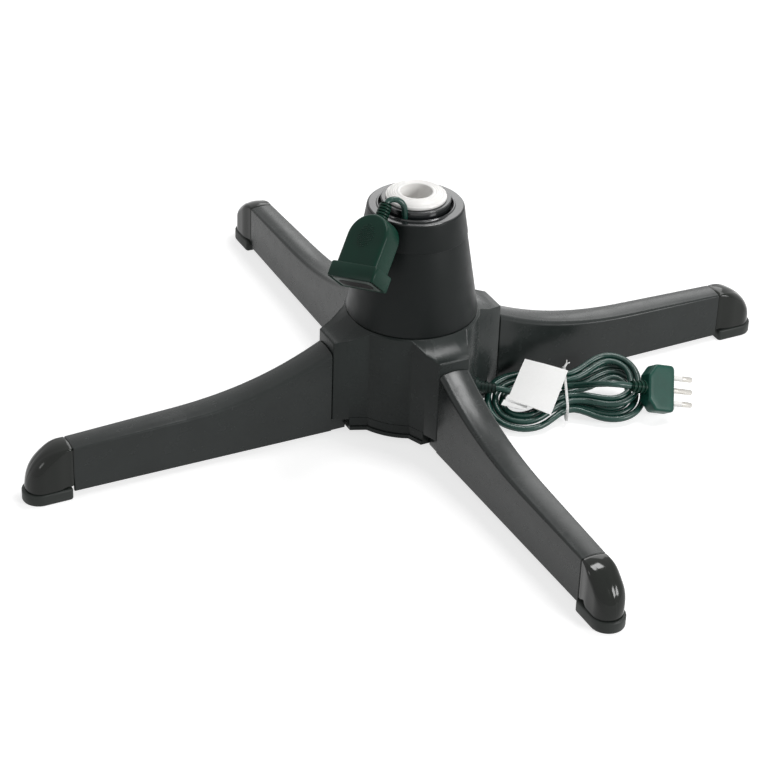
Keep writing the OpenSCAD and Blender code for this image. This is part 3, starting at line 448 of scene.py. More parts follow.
lead_points = [(58.2, -39, 23.4), (62.8, -41.3, 21.6), (68.3, -43, 18.9), (74.2, -44.4, 16.5),
    (81.2, -45.6, 14.6), (88.4, -46.8, 13.4), (96.3, -47.2, 12.8), (104.9, -47.7, 13)]
tail_points = [(82.5, -37.6, 19.4), (86.8, -39.4, 19.4), (93, -42.4, 19.3), (99.4, -45.3, 19.3),
    (105.4, -48.7, 19.9), (110.4, -53.3, 21.6), (114.2, -58.6, 24.2), (117.3, -64.1, 27.1),
    (120.6, -69.6, 29.9), (125.2, -74.4, 31.7), (131.3, -77.6, 31.6)]
pigtail_points = [(-30.2, -14.3, 184.7), (-29.1, -14, 185.4), (-27.8, -14, 185.9),
    (-26.5, -14.1, 186.1), (-25.1, -14.4, 186.1), (-23.7, -14.8, 185.8), (-22.4, -15.3, 185.3),
    (-21.2, -15.8, 184.5), (-20.1, -16.3, 183.5), (-19.1, -16.8, 182.1), (-18.4, -17.1, 180.5),
    (-18, -17.4, 178.7), (-17.8, -17.5, 176.5)]

hank_u = polar(1, HANK_AZ)
hank_v = polar(math.cos(math.radians(HANK_TILT)), HANK_AZ + 90, math.sin(math.radians(HANK_TILT)))
hank_n = hank_u.cross(hank_v)


def loop_at(q):
    """Outer loop of the hank: two round noses and a waist that is drawn in."""
    c, s = math.cos(math.radians(q)), math.sin(math.radians(q))
    side = 0 if c > 0 else 1
    nose = HANK_NOSE[side]
    lobe = math.sin(math.pi / 2 * c)
    flat = HANK_SQUARE * math.sin(math.pi / 2 * lobe) + (1 - HANK_SQUARE) * lobe
    a = (HANK_REACH[side] - nose) * flat + nose * c
    draw = math.exp(-((a / HANK_NECK) ** 2))
    return Vector((a, s * (nose - (nose - HANK_WAIST) * draw) + HANK_SHIFT[side] * (1 - draw)))


def hank_point(t):
    """Centre of the cord after t turns."""
    middle, q = HANK_TURNS / 2, 90 - 360 * t
    along = (loop_at(q - 0.6) - loop_at(q + 0.6)).normalized()
    p = loop_at(q) - HANK_STEP * abs(t - middle) * Vector((-along.y, along.x))
    up = smooth((t - middle) / HANK_CLIMB + 0.5)
    swing = smooth((t - middle) / HANK_SWING + 0.5)
    yaw = math.radians(HANK_YAW[0] + (HANK_YAW[1] - HANK_YAW[0]) * swing)
    x = p.x * math.cos(yaw) - p.y * math.sin(yaw)
    y = p.x * math.sin(yaw) + p.y * math.cos(yaw)
    return HANK_AT + x * hank_u + y * hank_v + (up - 0.5) * HANK_LAYER * hank_n


def hank_dir(t):
    return (hank_point(t + 0.005) - hank_point(t - 0.005)).normalized()


def through(points, steps):
    """Smooth curve through points, by chord lengths, with steps rows between neighbours."""
    points = [Vector(p) for p in points]
    points = [2 * points[0] - points[1], *points, 2 * points[-1] - points[-2]]
    curve = []
    for a, b, c, d in zip(points, points[1:], points[2:], points[3:]):
        before, across, after = (b - a).length, (c - b).length, (d - c).length
        start = ((b - a) / before - (c - a) / (before + across) + (c - b) / across) * across
        end = ((c - b) / across - (d - b) / (across + after) + (d - c) / after) * across
        for k in range(steps):
            s = k / steps
            curve.append(
                (2 * s**3 - 3 * s**2 + 1) * b
                + (s**3 - 2 * s**2 + s) * start
                + (3 * s**2 - 2 * s**3) * c
                + (s**3 - s**2) * end
            )
    return [*curve, points[-2]]


def cord_curve(name, points, diameter, material, body):
    data = bpy.data.curves.new(name, "CURVE")
    data.dimensions = "3D"
    data.bevel_depth = diameter / 2 * MM
    data.bevel_resolution = 5
    data.use_fill_caps = True
    spline = data.splines.new("POLY")
    spline.points.add(len(points) - 1)
    for row, point in zip(spline.points, points):
        row.co = (*(point * MM), 1.0)
    spline.use_smooth = True
    data.materials.append(material)
    piece = bpy.data.objects.new(name, data)
    scene.collection.objects.link(piece)
    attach(piece, body)
    return piece


hank_count = HANK_TURNS * HANK_RINGS
hank_line = [
    hank_point(HANK_SPAN[0] + (HANK_SPAN[1] - HANK_SPAN[0]) * i / hank_count)
    for i in range(hank_count + 1)
]
hank_start = hank_line[0] - hank_dir(HANK_SPAN[0]) * CORD_D
hank_leave = (hank_dir(HANK_SPAN[1]) + hank_u).normalized()
hank_end = hank_line[-1] + hank_leave * CORD_D
plug_in = PLUG_AT - PLUG_DIR * (PLUG_LEN / 2 + PLUG_RELIEF)
lead_line = through(
    [
        polar(RELIEF_END - STRAIGHT_RUN, INLET_AZ, INLET_Z),
        polar(RELIEF_END, INLET_AZ, INLET_Z),
        *lead_points,
        hank_start,
    ],
    CURVE_STEPS,
)
tail_line = through(
    [
        hank_end,
        hank_end + hank_leave * TAIL_RUN,
        *tail_points,
        plug_in - PLUG_DIR * STRAIGHT_RUN,
        plug_in,
        plug_in + PLUG_DIR * STRAIGHT_RUN,
    ],
    CURVE_STEPS,
)
supply_line = [*lead_line, *hank_line, *tail_line]
supply_cord = cord_curve("supply_cord", supply_line, CORD_D, GREEN, "base")
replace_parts(supply_cord, "supply_lead", "supply_hank", "supply_tail")

socket_out = SOCKET_AT + SOCKET_UP * (SOCKET_LEN + PIGTAIL_RELIEF)
pigtail_line = through(
    [
        *[polar(PIGTAIL_R, PIGTAIL_AZ, z) for z in PIGTAIL_LOW],
        *[Vector(p) for p in reversed(pigtail_points)],
        socket_out,
        socket_out - SOCKET_UP * SOCKET_RUN,
    ],
    CURVE_STEPS,
)
pigtail_cord = cord_curve("pigtail_cord", pigtail_line, PIGTAIL_D, GREEN, "rotor")
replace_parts(pigtail_cord, "pigtail")

# ---------------------------------------------------------------- legs, end caps and foot pads

LEG_END_H = CAP_TOP_Z
LEG_SPAN = SEAM_X - LEG_X
LEG_SLOPE = 0.03  # of the low straight run
LEG_CURVE = 2.35  # power of the climb to the hub
LEG_CLIMB_X = LEG_X + 0.62 * LEG_SPAN
LEG_CLIMB = LEG_TOP_Z - LEG_END_H - LEG_SLOPE * LEG_SPAN
LEG_END_HALF = 9.3
LEG_HUB_HALF = 12.0
LEG_WALL = 2.0
TOP_CROWN = 0.8
TOP_ROUND = 1.6
HUB_END_ROUND = 4.0
SEAM_EDGE = 0.5
LEG_ROWS = 56
END_WALL = 2.5
INNER_ROUND = 1.5
RIB_T = 2.0
RIBS = (0.24, 0.48, 0.72)
RIB_LIFT = 5.0  # of the ribs' lower edge, for air under the leg
TONGUE_X = 57.5
TONGUE_HALF = 11.7
TONGUE_TOP = 13.9


def leg_top(x):
    climb = max(LEG_CLIMB_X - x, 0) / (LEG_CLIMB_X - LEG_X)
    return LEG_END_H + LEG_SLOPE * (SEAM_X - x) + LEG_CLIMB * climb**LEG_CURVE


def leg_half(x):
    return LEG_END_HALF + (LEG_HUB_HALF - LEG_END_HALF) * (SEAM_X - x) / LEG_SPAN


def leg_edge(x):
    return TOP_ROUND + (HUB_END_ROUND - TOP_ROUND) * (SEAM_X - x) / LEG_SPAN


def arch(x, half, low, top, round_x, round_z, crown, steps=8):
    """Cross-section from its lower right over the top to its lower left, in the plane at x."""
    side = [(half, low + (top - crown - round_z - low) * k / 3) for k in range(3)]
    corner = [
        (
            half - round_x + round_x * math.cos(math.pi / 2 * k / steps),
            top - crown - round_z + round_z * math.sin(math.pi / 2 * k / steps),
        )
        for k in range(steps + 1)
    ]
    flat = half - round_x
    back = [(flat * f, top - crown * f * f) for f in (0.75, 0.5, 0.25)]
    right = side + corner + back
    left = [(-y, z) for y, z in reversed(right)]
    return [(x, y, z) for y, z in [*right, (0.0, top), *left]]


def leg_section(x, edge=0.0):
    """Outer section of the leg at x, drawn in by edge."""
    half, top = leg_half(x) - edge, leg_top(x) - edge
    return arch(x, half, LEG_Z, top, leg_edge(x), leg_edge(x), TOP_CROWN)


def leg_hollow(x):
    """Inner section of the leg at x, which stops at its end wall."""
    top = leg_top(x) - LEG_WALL - TOP_CROWN
    near = max(x, LEG_X + END_WALL)
    return arch(near, leg_half(x) - LEG_WALL, LEG_Z, top, INNER_ROUND, INNER_ROUND, 0.0)


def leg_rib(x, low):
    """Plate across the inside of the leg."""
    half, top = leg_half(x) - 0.8, leg_top(x) - 1.2
    return skin([arch(x + t, half, low, top, 3.5, 3.5, 0.4) for t in (0.0, RIB_T)])


def leg_piece(letter):
    """Hollow leg, open below, with its end wall, three ribs and the tongue under the hub's arm."""
    rings = []
    for i in range(LEG_ROWS + 1):
        x = LEG_X + LEG_SPAN * i / LEG_ROWS
        outers = [leg_section(x, SEAM_EDGE if i in (0, LEG_ROWS) else 0.0)]
        if i == 0:
            outers.append(leg_section(x + SEAM_EDGE))
        if i == LEG_ROWS - 1:
            outers.append(leg_section(SEAM_X - SEAM_EDGE))
        rings += [outer + list(reversed(leg_hollow(x))) for outer in outers]
    parts = [skin(rings, ends=False)]
    half_ring = len(rings[0]) // 2
    for ring in (rings[0], rings[-1]):
        last = 2 * half_ring - 1
        parts.append((ring, [(k, k + 1, last - 1 - k, last - k) for k in range(half_ring - 1)]))
    parts.append(leg_rib(LEG_X + 1.2, LEG_Z))
    parts += [leg_rib(LEG_X + LEG_SPAN * f, LEG_Z + RIB_LIFT) for f in RIBS]
    y, top = TONGUE_HALF, TONGUE_TOP
    tongue = rounded([(-y, LEG_Z, 0.6), (y, LEG_Z, 0.6), (y, top, 0.3), (-y, top, 0.3)])
    parts.append(skin([[(x, y, z) for y, z in tongue] for x in (TONGUE_X, LEG_X + 2)]))
    return add("leg_shell_" + letter, parts, SHELL, "base", place=turned(LEG_AZ[letter]))


CAP_HALF = LEG_END_HALF + 2
CAP_Z = PAD_H + 0.6
CAP_LEN = CAP_END_X - SEAM_X
CAP_NOSE_X = CAP_END_X - CAP_HALF
CAP_ROWS = 44
CAP_STEPS = 12
CAP_SWELL = 14  # length over which the cap widens
CAP_FLAT = 3  # straight part of its back
CAP_ROUND = 7  # what its upper edge's radius gains
PLUG_GAP = 1.2
SEAM_GAP = 0.15


def end_cap_piece(letter):
    """Glossy rounded end, swelling from the leg's width to its own and closing in a round nose."""
    half, top = LEG_END_HALF - PLUG_GAP, LEG_END_H - PLUG_GAP
    rings = [
        arch(x, half, CAP_Z, top, TOP_ROUND, TOP_ROUND, TOP_CROWN, CAP_STEPS)
        for x in (SEAM_X - 1.0, SEAM_X + SEAM_GAP)
    ]
    for i in range(CAP_ROWS + 1):
        f = math.sin(math.pi / 2 * min(i / CAP_ROWS, 0.995))
        x = SEAM_X + SEAM_GAP + (CAP_LEN - SEAM_GAP) * f
        edge = SEAM_EDGE if i == 0 else 0.0
        width = LEG_END_HALF + (CAP_HALF - LEG_END_HALF) * smooth((x - SEAM_X) / CAP_SWELL)
        if x > CAP_NOSE_X:
            width = math.sqrt(max(CAP_HALF**2 - (x - CAP_NOSE_X) ** 2, 0.3))
        g = max(x - SEAM_X - CAP_FLAT, 0) / (CAP_LEN - CAP_FLAT)
        top = CAP_Z + (LEG_END_H - CAP_Z) * math.sqrt(max(1 - 0.995 * g * g, 0.0))
        s = smooth(1.3 * f)
        round_x = min(TOP_ROUND + (0.8 * width - TOP_ROUND) * s, 0.92 * width)
        round_z = min(TOP_ROUND + CAP_ROUND * s, top - CAP_Z - TOP_CROWN - 0.3)
        crown = TOP_CROWN * (1 - 0.5 * s)
        rings.append(arch(x, width - edge, CAP_Z, top - edge, round_x, round_z, crown, CAP_STEPS))
    place = turned(LEG_AZ[letter])
    return add("end_cap_shell_" + letter, [skin(rings)], GLOSS, "base", place=place)


def foot_pad_piece(letter):
    """Flat pad, straight at the leg's side and round outside, with soft edges."""
    nose_x = PAD_END_X - PAD_HALF
    turns = [math.pi * (k / 24 - 0.5) for k in range(25)]

    def plan(inset, z):
        r = PAD_HALF - inset
        arc = [(nose_x + r * math.cos(a), r * math.sin(a), z) for a in turns]
        near, far = PAD_X + inset, nose_x - 3
        inner = rounded([(far, r, 0), (near, r, 2), (near, -r, 2), (far, -r, 0)], 3)
        return arc + [(x, y, z) for x, y in inner]

    rows = [(1.0, 0.0), (0.35, 0.15), (0.0, 0.9), (0.0, PAD_H - 1.0)]
    rows += [(0.2, PAD_H - 0.4), (0.8, PAD_H), (3.2, PAD_H), (3.2, CAP_Z + 0.3)]
    rings = [plan(inset, z) for inset, z in rows]
    place = turned(LEG_AZ[letter])
    return add("foot_pad_shell_" + letter, [skin(rings)], PAD, "base", place=place)


for letter in LEG_AZ:
    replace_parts(leg_piece(letter), "leg_" + letter)
    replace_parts(end_cap_piece(letter), "end_cap_" + letter)
    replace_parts(foot_pad_piece(letter), "foot_pad_" + letter)

# ---------------------------------------------------------------- hub

HUB_R = 49.6
HUB_WALL = 2.5
HUB_Z = 15.5
ARM_Z = 14.0
ARM_ROOT = 22.0
ARM_BEND = HUB_R - 5
RIM_OUT = HUB_R - 1.6
RIM_IN = RIM_OUT - 4
DECK_Z = RIM_Z - 4
DECK_T = 3.0
BUSH_R = 23.05
ARM_STEP_X = 57.0  # from here outwards the walls reach down over the tongue
ROOF_DROP = 9.0
ROOF_RUN = 20.0
ROOF_ROWS = (0.1, 0.2, 0.32, 0.45, 0.58, 0.7, 0.82, 0.92)
HUB_EDGE = 1.1
FOOT_EDGE = 0.35


def roof_at(r):
    """Height of the hollow roof at radius r."""
    return RIM_Z - ROOF_DROP * (1 - (max(RIM_OUT + ROOF_RUN - r, 0) / ROOF_RUN) ** 1.8)


def hub_outline():
    """Plan of the round hub and its four arms."""
    slope = (ARM_ROOT - LEG_HUB_HALF) / (ARM_REACH - ARM_BEND)
    at_step = ARM_ROOT - slope * (ARM_STEP_X - ARM_BEND)
    side = [
        (ARM_REACH, LEG_HUB_HALF, 1.4),
        (ARM_STEP_X + 0.2, at_step - 0.1, 0),
        (ARM_STEP_X - 0.2, at_step + 0.1, 0),
        (ARM_BEND, ARM_ROOT, 2.2),
    ]
    right = [(x, -y, r) for x, y, r in reversed(side)]
    arc = [(*polar(HUB_R, a).to_2d(), 0) for a in range(30, 61, 3)]
    corners = []
    for azimuth in (0, 90, 180, 270):
        for x, y, r in right + side + arc:
            corners.append((*(turned(azimuth) @ Vector((x, y, 0))).to_2d(), r))
    return rounded(corners)


def hub_piece():
    """Outer skin, hollow roof, rim, deck and inner wall as one closed shell."""
    under = DECK_Z - DECK_T
    rings = []
    for x, y in hub_outline():
        r = math.hypot(x, y)
        low = ARM_Z if max(abs(x), abs(y)) > ARM_STEP_X else HUB_Z
        inner = r - HUB_EDGE
        top = roof_at(inner)
        shoulder = top - HUB_EDGE
        profile = [(r - FOOT_EDGE, low), (r, low + FOOT_EDGE)]
        profile += [(r, 0.5 * (low + top)), (r, shoulder)]
        for a in (math.pi / 2 * k / 4 for k in range(1, 5)):
            profile.append((inner + HUB_EDGE * math.cos(a), shoulder + HUB_EDGE * math.sin(a)))
        for f in ROOF_ROWS:
            at = inner + (RIM_OUT - inner) * f
            profile.append((at, roof_at(at)))
        profile += [(RIM_OUT - 0.2, RIM_Z), (RIM_IN + 0.4, RIM_Z), (RIM_IN, RIM_Z - 0.4)]
        profile += [(RIM_IN, DECK_Z), (BUSH_R, DECK_Z), (BUSH_R, under)]
        profile += [(HUB_R - HUB_WALL - 1, under), (r - HUB_WALL, min(roof_at(r) - 3, under))]
        profile.append((r - HUB_WALL, low))
        rings.append([(x / r * at, y / r * at, z) for at, z in profile])
    return add("hub_cover", [skin(rings, path_closed=True)], HUB, "base", sharp=32)


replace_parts(hub_piece(), "hub_shell")

# ---------------------------------------------------------------- rotor

SLOPE = (CONE_R - (CAP_R - 0.5)) / (CONE_TOP_Z - CONE_Z)
COLLAR_H = 5.2
ROTOR_TOP = COLLAR_Z - COLLAR_H
CONE_WALL = 2.5
LEDGE_R = 33.0
LEDGE = (9.6, 12.1)  # heights above the cone's foot
CAP_TOP_R = 34.2
BEAD_R = 27.0
COLLAR_R = 24.9
SLEEVE_BORE_R = 16.25
GROOVE_Z = ROTOR_TOP - 5


def cone_piece():
    """Tapered cone with a ledge inside."""
    top_r = CONE_R - SLOPE * (CONE_TOP_Z - CONE_Z)
    low, high = LEDGE
    profile = rounded(
        [
            (CONE_R, CONE_Z, 0.7),
            (top_r, CONE_TOP_Z, 0.3),
            (top_r - CONE_WALL, CONE_TOP_Z, 0.3),
            (CONE_R - SLOPE * high - CONE_WALL, CONE_Z + high, 0.3),
            (LEDGE_R, CONE_Z + high, 0.3),
            (LEDGE_R, CONE_Z + low, 0.3),
            (CONE_R - SLOPE * low - CONE_WALL, CONE_Z + low, 0.3),
            (CONE_R - CONE_WALL, CONE_Z, 0.3),
        ]
    )
    return add("cone_cover", [lathe(profile, 192)], ROTOR, "rotor")


def cap_piece():
    """Upper ring with its flat rim, bead, groove and collar."""
    profile = rounded(
        [
            (CAP_R, CONE_TOP_Z, 0.35),
            (CAP_TOP_R + 0.3, ROTOR_TOP, 1.7),
            (BEAD_R + 1.2, ROTOR_TOP - 0.1, 0.4),
            (BEAD_R + 0.8, ROTOR_TOP + 0.7, 0.5),
            (BEAD_R - 0.3, ROTOR_TOP + 0.7, 0.5),
            (BEAD_R - 0.9, GROOVE_Z, 0.4),
            (COLLAR_R, GROOVE_Z, 0.4),
            (COLLAR_R, COLLAR_Z, 0.7),
            (SLEEVE_BORE_R, COLLAR_Z, 0.3),
            (SLEEVE_BORE_R, ROTOR_TOP - 1, 0),
            (SLEEVE_BORE_R + 2.8, ROTOR_TOP - 1, 0),
            (SLEEVE_BORE_R + 2.8, GROOVE_Z - 3, 0.2),
            (CAP_R - 6, GROOVE_Z - 3, 1.5),
            (CAP_R - 5, CONE_TOP_Z, 0.2),
        ],
        6,
    )
    cap = add("cap_cover", [lathe(profile, 192)], ROTOR, "rotor")
    cap.data.materials.append(RING)
    for face in cap.data.polygons:
        r = math.hypot(face.center.x, face.center.y) / MM
        if r < CAP_TOP_R and face.center.z / MM > GROOVE_Z - 1:
            face.material_index = 1
    return cap


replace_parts(cone_piece(), "cone_shell")
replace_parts(cap_piece(), "rotor_cap")


HOLE_R = 11.5
INSERT_GAP = 0.08
INSERT_RIM = 1.4  # straight part of the flange's edge
INSERT_RINGS = 5


def insert_piece():
    """White reducer: a domed flange in fine rings, and the body in the sleeve."""
    body_r = SLEEVE_BORE_R - INSERT_GAP
    flange_z = COLLAR_Z + 0.05
    dome = INSERT_TOP_Z - flange_z
    corners = [(HOLE_R, INSERT_Z, 0.5), (body_r, INSERT_Z, 1.0), (body_r, flange_z, 0)]
    corners += [(INSERT_R, flange_z, 0.3), (INSERT_R, flange_z + INSERT_RIM, 0.5)]
    for i in range(INSERT_RINGS):
        r = INSERT_R - 0.5 - i * (INSERT_R - HOLE_R - 1.8) / INSERT_RINGS
        f = (r - HOLE_R) / (INSERT_R - HOLE_R)
        z = flange_z + INSERT_RIM + (dome - 1.5) * math.sqrt(1 - f * f)
        corners += [(r, z, 0.25), (r - 0.35, z - 0.22, 0.1), (r - 0.7, z + 0.05, 0.2)]
    corners += [(HOLE_R + 1.3, INSERT_TOP_Z, 0.5), (HOLE_R, INSERT_TOP_Z - 0.2, 0.7)]
    return add("pole_insert_ringed", [lathe(rounded(corners, 3), 160)], WHITE, "insert", sharp=50)


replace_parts(insert_piece(), "pole_insert")

# ---------------------------------------------------------------- socket


def axes(at, x, z):
    """Matrix that puts a local frame in place: x and z given, y across them."""
    x = x.normalized()
    z = (z - x * z.dot(x)).normalized()
    y = z.cross(x)
    return Matrix.Translation(at * MM) @ Matrix((x, y, z)).transposed().to_4x4()


SOCKET_SIDE = Vector((0.453, -0.871, 0.191))
SOCKET_SIDE = (SOCKET_SIDE - SOCKET_UP * SOCKET_SIDE.dot(SOCKET_UP)).normalized()
SOCKET_PLACE = axes(SOCKET_AT, SOCKET_SIDE, SOCKET_UP)
SOCKET_W = 34.0
SOCKET_T = 18.0
FLANGE = 3.0
FLANGE_H = 12.0


def socket_outline(inset, y, steps=28):
    """Plan of the socket's front, straight below and round above."""
    r = SOCKET_W / 2 - inset
    centre = SOCKET_LEN - SOCKET_W / 2
    turns = [math.pi * k / steps for k in range(steps + 1)]
    top = [(-r * math.cos(a), y, centre + r * math.sin(a)) for a in turns]
    low, high = 2.0 + inset, 9.0
    return [(-r, y, low), (-r, y, high), *top, (r, y, high), (r, y, low)]


def cushion(outline, thick, edge, steps=5):
    """Rings from the back face to the front face of a flat body with rounded edges."""
    rows = [(edge * 2.2, thick / 2)]
    for a in (math.pi / 2 * k / steps for k in range(steps + 1)):
        rows.append((edge * (1 - math.sin(a)), thick / 2 - edge * (1 - math.cos(a))))
    back = [outline(inset, -y) for inset, y in rows]
    return back + [outline(inset, y) for inset, y in reversed(rows)]


def block(w, t, z, inset, edge):
    """Rounded rectangle at height z, as a ring."""
    return [(x, y, z) for x, y in rounded_box(w / 2 - inset, t / 2 - inset, edge, 5)]


GRIP_Z = 33.0
GRIP_STEP = 1.55
GRIP_HALF = (6.6, 8.6)
GRIP_ROWS = 6
PIP_ROWS = ((0.62, 0.0), (0.55, 0.35), (0.3, 0.55))
PIP_DEPTH = 0.2


def pip(x, z):
    """Low round bump on the socket's front."""
    front = -SOCKET_T / 2
    turns = [math.pi * k / 4 for k in range(8)]
    return skin(
        [
            [(x + r * math.cos(a), front + PIP_DEPTH - h, z + r * math.sin(a)) for a in turns]
            for r, h in PIP_ROWS
        ]
    )


def socket_piece():
    """Trailing socket: flat body with a round top, a flange at the mouth and a patch of pips."""
    parts = [skin(cushion(socket_outline, SOCKET_T, 2.6))]
    w, t = SOCKET_W + 2 * FLANGE, SOCKET_T + FLANGE
    rows = [(1.6, 1.2), (0.6, 0.0), (0.25, 0.0), (0.0, 0.5), (0.0, FLANGE_H - 1.6)]
    rows += [(0.5, FLANGE_H - 0.7), (2.4, FLANGE_H), (6.0, FLANGE_H + 0.5)]
    parts.append(skin([block(w, t, z, inset, 2.2) for inset, z in rows]))
    for row in range(-GRIP_ROWS, GRIP_ROWS + 1):
        z = GRIP_Z + GRIP_STEP * row * 0.87
        for col in range(-5, 6):
            x = GRIP_STEP * (col + 0.5 * (row % 2))
            if (x / GRIP_HALF[0]) ** 2 + ((z - GRIP_Z) / GRIP_HALF[1]) ** 2 < 1:
                parts.append(pip(x, z))
    return add("socket_cover", parts, SHADED_GREEN_BODY, "rotor", place=SOCKET_PLACE)


def socket_face_piece():
    """Face let into the mouth."""
    w, t = SOCKET_W - 1.0, SOCKET_T - 1.5
    rows = [(0.5, -0.25), (0.0, 0.1), (0.0, 1.4)]
    plate = skin([block(w, t, z, inset, 1.4) for inset, z in rows])
    return add("socket_face_plate", [plate], PALE_RESIN_WITH_PAINTED_SHADE, "rotor", place=SOCKET_PLACE)


def socket_hole_shade_piece():
    """Dark patch on the face over its three holes: painted shade where the holes lie."""
    outline = rounded_box(14, 4.4, 4.2, 6)
    painted_patch = skin([[(x, y, z) for x, y in outline] for z in (-0.45, 0.2)])
    return add("socket_hole_shade_patch", [painted_patch], DARK_RESIN_AND_HOLE_SHADE, "rotor", place=SOCKET_PLACE)


def ribbed(length, r0, r1, bore, ribs, cut=1.0):
    """Tapered sleeve along Z with open ribs."""
    pitch = length / ribs
    corners = [(bore, 0, 0)]
    for i in range(ribs):
        r = r0 + (r1 - r0) * i / ribs
        z = i * pitch
        corners += [(r, z, 0.25), (r, z + 0.62 * pitch, 0.3)]
        corners += [(r - cut, z + 0.66 * pitch, 0.1), (r - cut, z + 0.97 * pitch, 0.1)]
    corners += [(r1, length - 0.02 * pitch, 0.1), (r1, length, 0.3), (bore, length, 0)]
    return lathe(rounded(corners, 3), 48)


socket = socket_piece()
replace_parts(socket, "socket_body")
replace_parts(socket_face_piece(), "socket_face")
socket_hole_shade_patch = socket_hole_shade_piece()
pigtail_relief = add(
    "pigtail_sleeve",
    [ribbed(PIGTAIL_RELIEF, 4.9, 4.3, PIGTAIL_D / 2 + 0.05, 5, cut=1.9)],
    SHADED_GREEN_BODY,
    "rotor",
    place=axes(SOCKET_AT + SOCKET_UP * SOCKET_LEN, SOCKET_SIDE, SOCKET_UP),
)
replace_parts(pigtail_relief, "pigtail_relief")

# ---------------------------------------------------------------- plug

PLUG_ROW = Vector((0.3, 0.585, 0.754))
PLUG_ROW = (PLUG_ROW - PLUG_DIR * PLUG_ROW.dot(PLUG_DIR)).normalized()
PLUG_PLACE = axes(PLUG_AT, PLUG_DIR, PLUG_ROW)
PLUG_W = 35.0
PLUG_T = 13.0
PIN_LEN = 19.0
PIN_PITCH = 9.5
PIN_R = 2.0
PIN_SLEEVE = 10.0


def plug_outline(inset, y):
    """Plan of the plug: square at the pins, tapered at the cord."""
    h, w, taper = PLUG_LEN / 2 - inset, PLUG_W / 2 - inset, 6.0
    neck = 0.55 * PLUG_W / 2 - inset
    corners = [(-h, -neck, 2.0), (-h + taper, -w, 4.0), (h, -w, 3.0)]
    corners += [(h, w, 3.0), (-h + taper, w, 4.0), (-h, neck, 2.0)]
    return [(x, y, z) for x, z in rounded(corners, 5)]


def plug_piece():
    body = skin(cushion(plug_outline, PLUG_T, 1.9))
    return add("plug_cover", [body], GREEN_PLUG, "base", place=PLUG_PLACE)


def along_x(part):
    """Turns a shape made along Z so that it lies along X."""
    points, faces = part
    return [(p[2], p[1], -p[0]) for p in points], faces


def shifted(part, x=0.0, z=0.0):
    points, faces = part
    return [(p[0] + x, p[1], p[2] + z) for p in points], faces


def pins_piece():
    """Three round pins with rounded tips, the outer two slimmer inside their sleeves."""
    r = PIN_R
    tip = [(r, PIN_LEN - 1.2), (r * 0.92, PIN_LEN - 0.6)]
    tip += [(r * 0.72, PIN_LEN - 0.15), (r * 0.4, PIN_LEN)]
    slim = [(r * 0.75, -2.0), (r * 0.75, PIN_SLEEVE - 0.1), (r, PIN_SLEEVE)]
    parts = []
    for row in (-1, 0, 1):
        start = slim if row else [(r, -2.0)]
        parts.append(shifted(along_x(rod(start + tip)), PLUG_LEN / 2, row * PIN_PITCH))
    return add("plug_pins_round", parts, PIN_METAL, "base", place=PLUG_PLACE)


def sleeves_piece():
    """White sleeves on the roots of the outer pins."""
    r, bore = PIN_R, PIN_R * 0.72
    outline = rounded([(bore, 0, 0), (r, 0, 0), (r, PIN_SLEEVE, 0.3), (bore, PIN_SLEEVE, 0)], 3)
    sleeve = along_x(lathe(outline, 32))
    parts = [shifted(sleeve, PLUG_LEN / 2, row * PIN_PITCH) for row in (-1, 1)]
    return add("plug_pin_sleeves", parts, WHITE, "base", place=PLUG_PLACE)


plug = plug_piece()
plug_pins = pins_piece()
plug_sleeves = sleeves_piece()
plug_relief = add(
    "plug_sleeve",
    [ribbed(PLUG_RELIEF, 5.2, 3.7, CORD_D / 2 + 0.05, 4)],
    SHADED_GREEN_BODY,
    "base",
    place=axes(PLUG_AT - PLUG_DIR * PLUG_LEN / 2, PLUG_ROW, -PLUG_DIR),
)
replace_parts(plug, "plug_body")
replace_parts(plug_pins, "plug_pins")
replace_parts(plug_sleeves, "plug_sleeves")
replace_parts(plug_relief, "plug_relief")

# ---------------------------------------------------------------- tie and tag

TIE_AT = Vector((-3.3, -2.5, 1.1))
TIE_SPAN = (41.4, 13.8)
TIE_ROUND = 3.0
TIE_T = 1.0
TIE_END = 7.0
WIRE_R = 0.42
WIRE_STEP = 0.62  # between the wires side by side
TWIST_ROWS = 40
TAG_Z = 11.7
TAG_T = 0.4


def in_hank(p):
    """Point of the hank's own frame, in the solids' frame."""
    return HANK_AT + p[0] * hank_u + p[1] * hank_v + p[2] * hank_n


def tube(points, radius, sides=10, closed=False):
    """Round bar along a line of points."""
    n = len(points)
    turns = [2 * math.pi * k / sides for k in range(sides)]
    rings = []
    side = hank_u
    for i, p in enumerate(points):
        ahead = points[(i + 1) % n if closed else min(i + 1, n - 1)]
        behind = points[i - 1 if closed or i else 0]
        along = (ahead - behind).normalized()
        side = (side - along * side.dot(along)).normalized()
        other = along.cross(side)
        rings.append([p + radius * (math.cos(a) * side + math.sin(a) * other) for a in turns])
    return skin(rings, path_closed=closed)


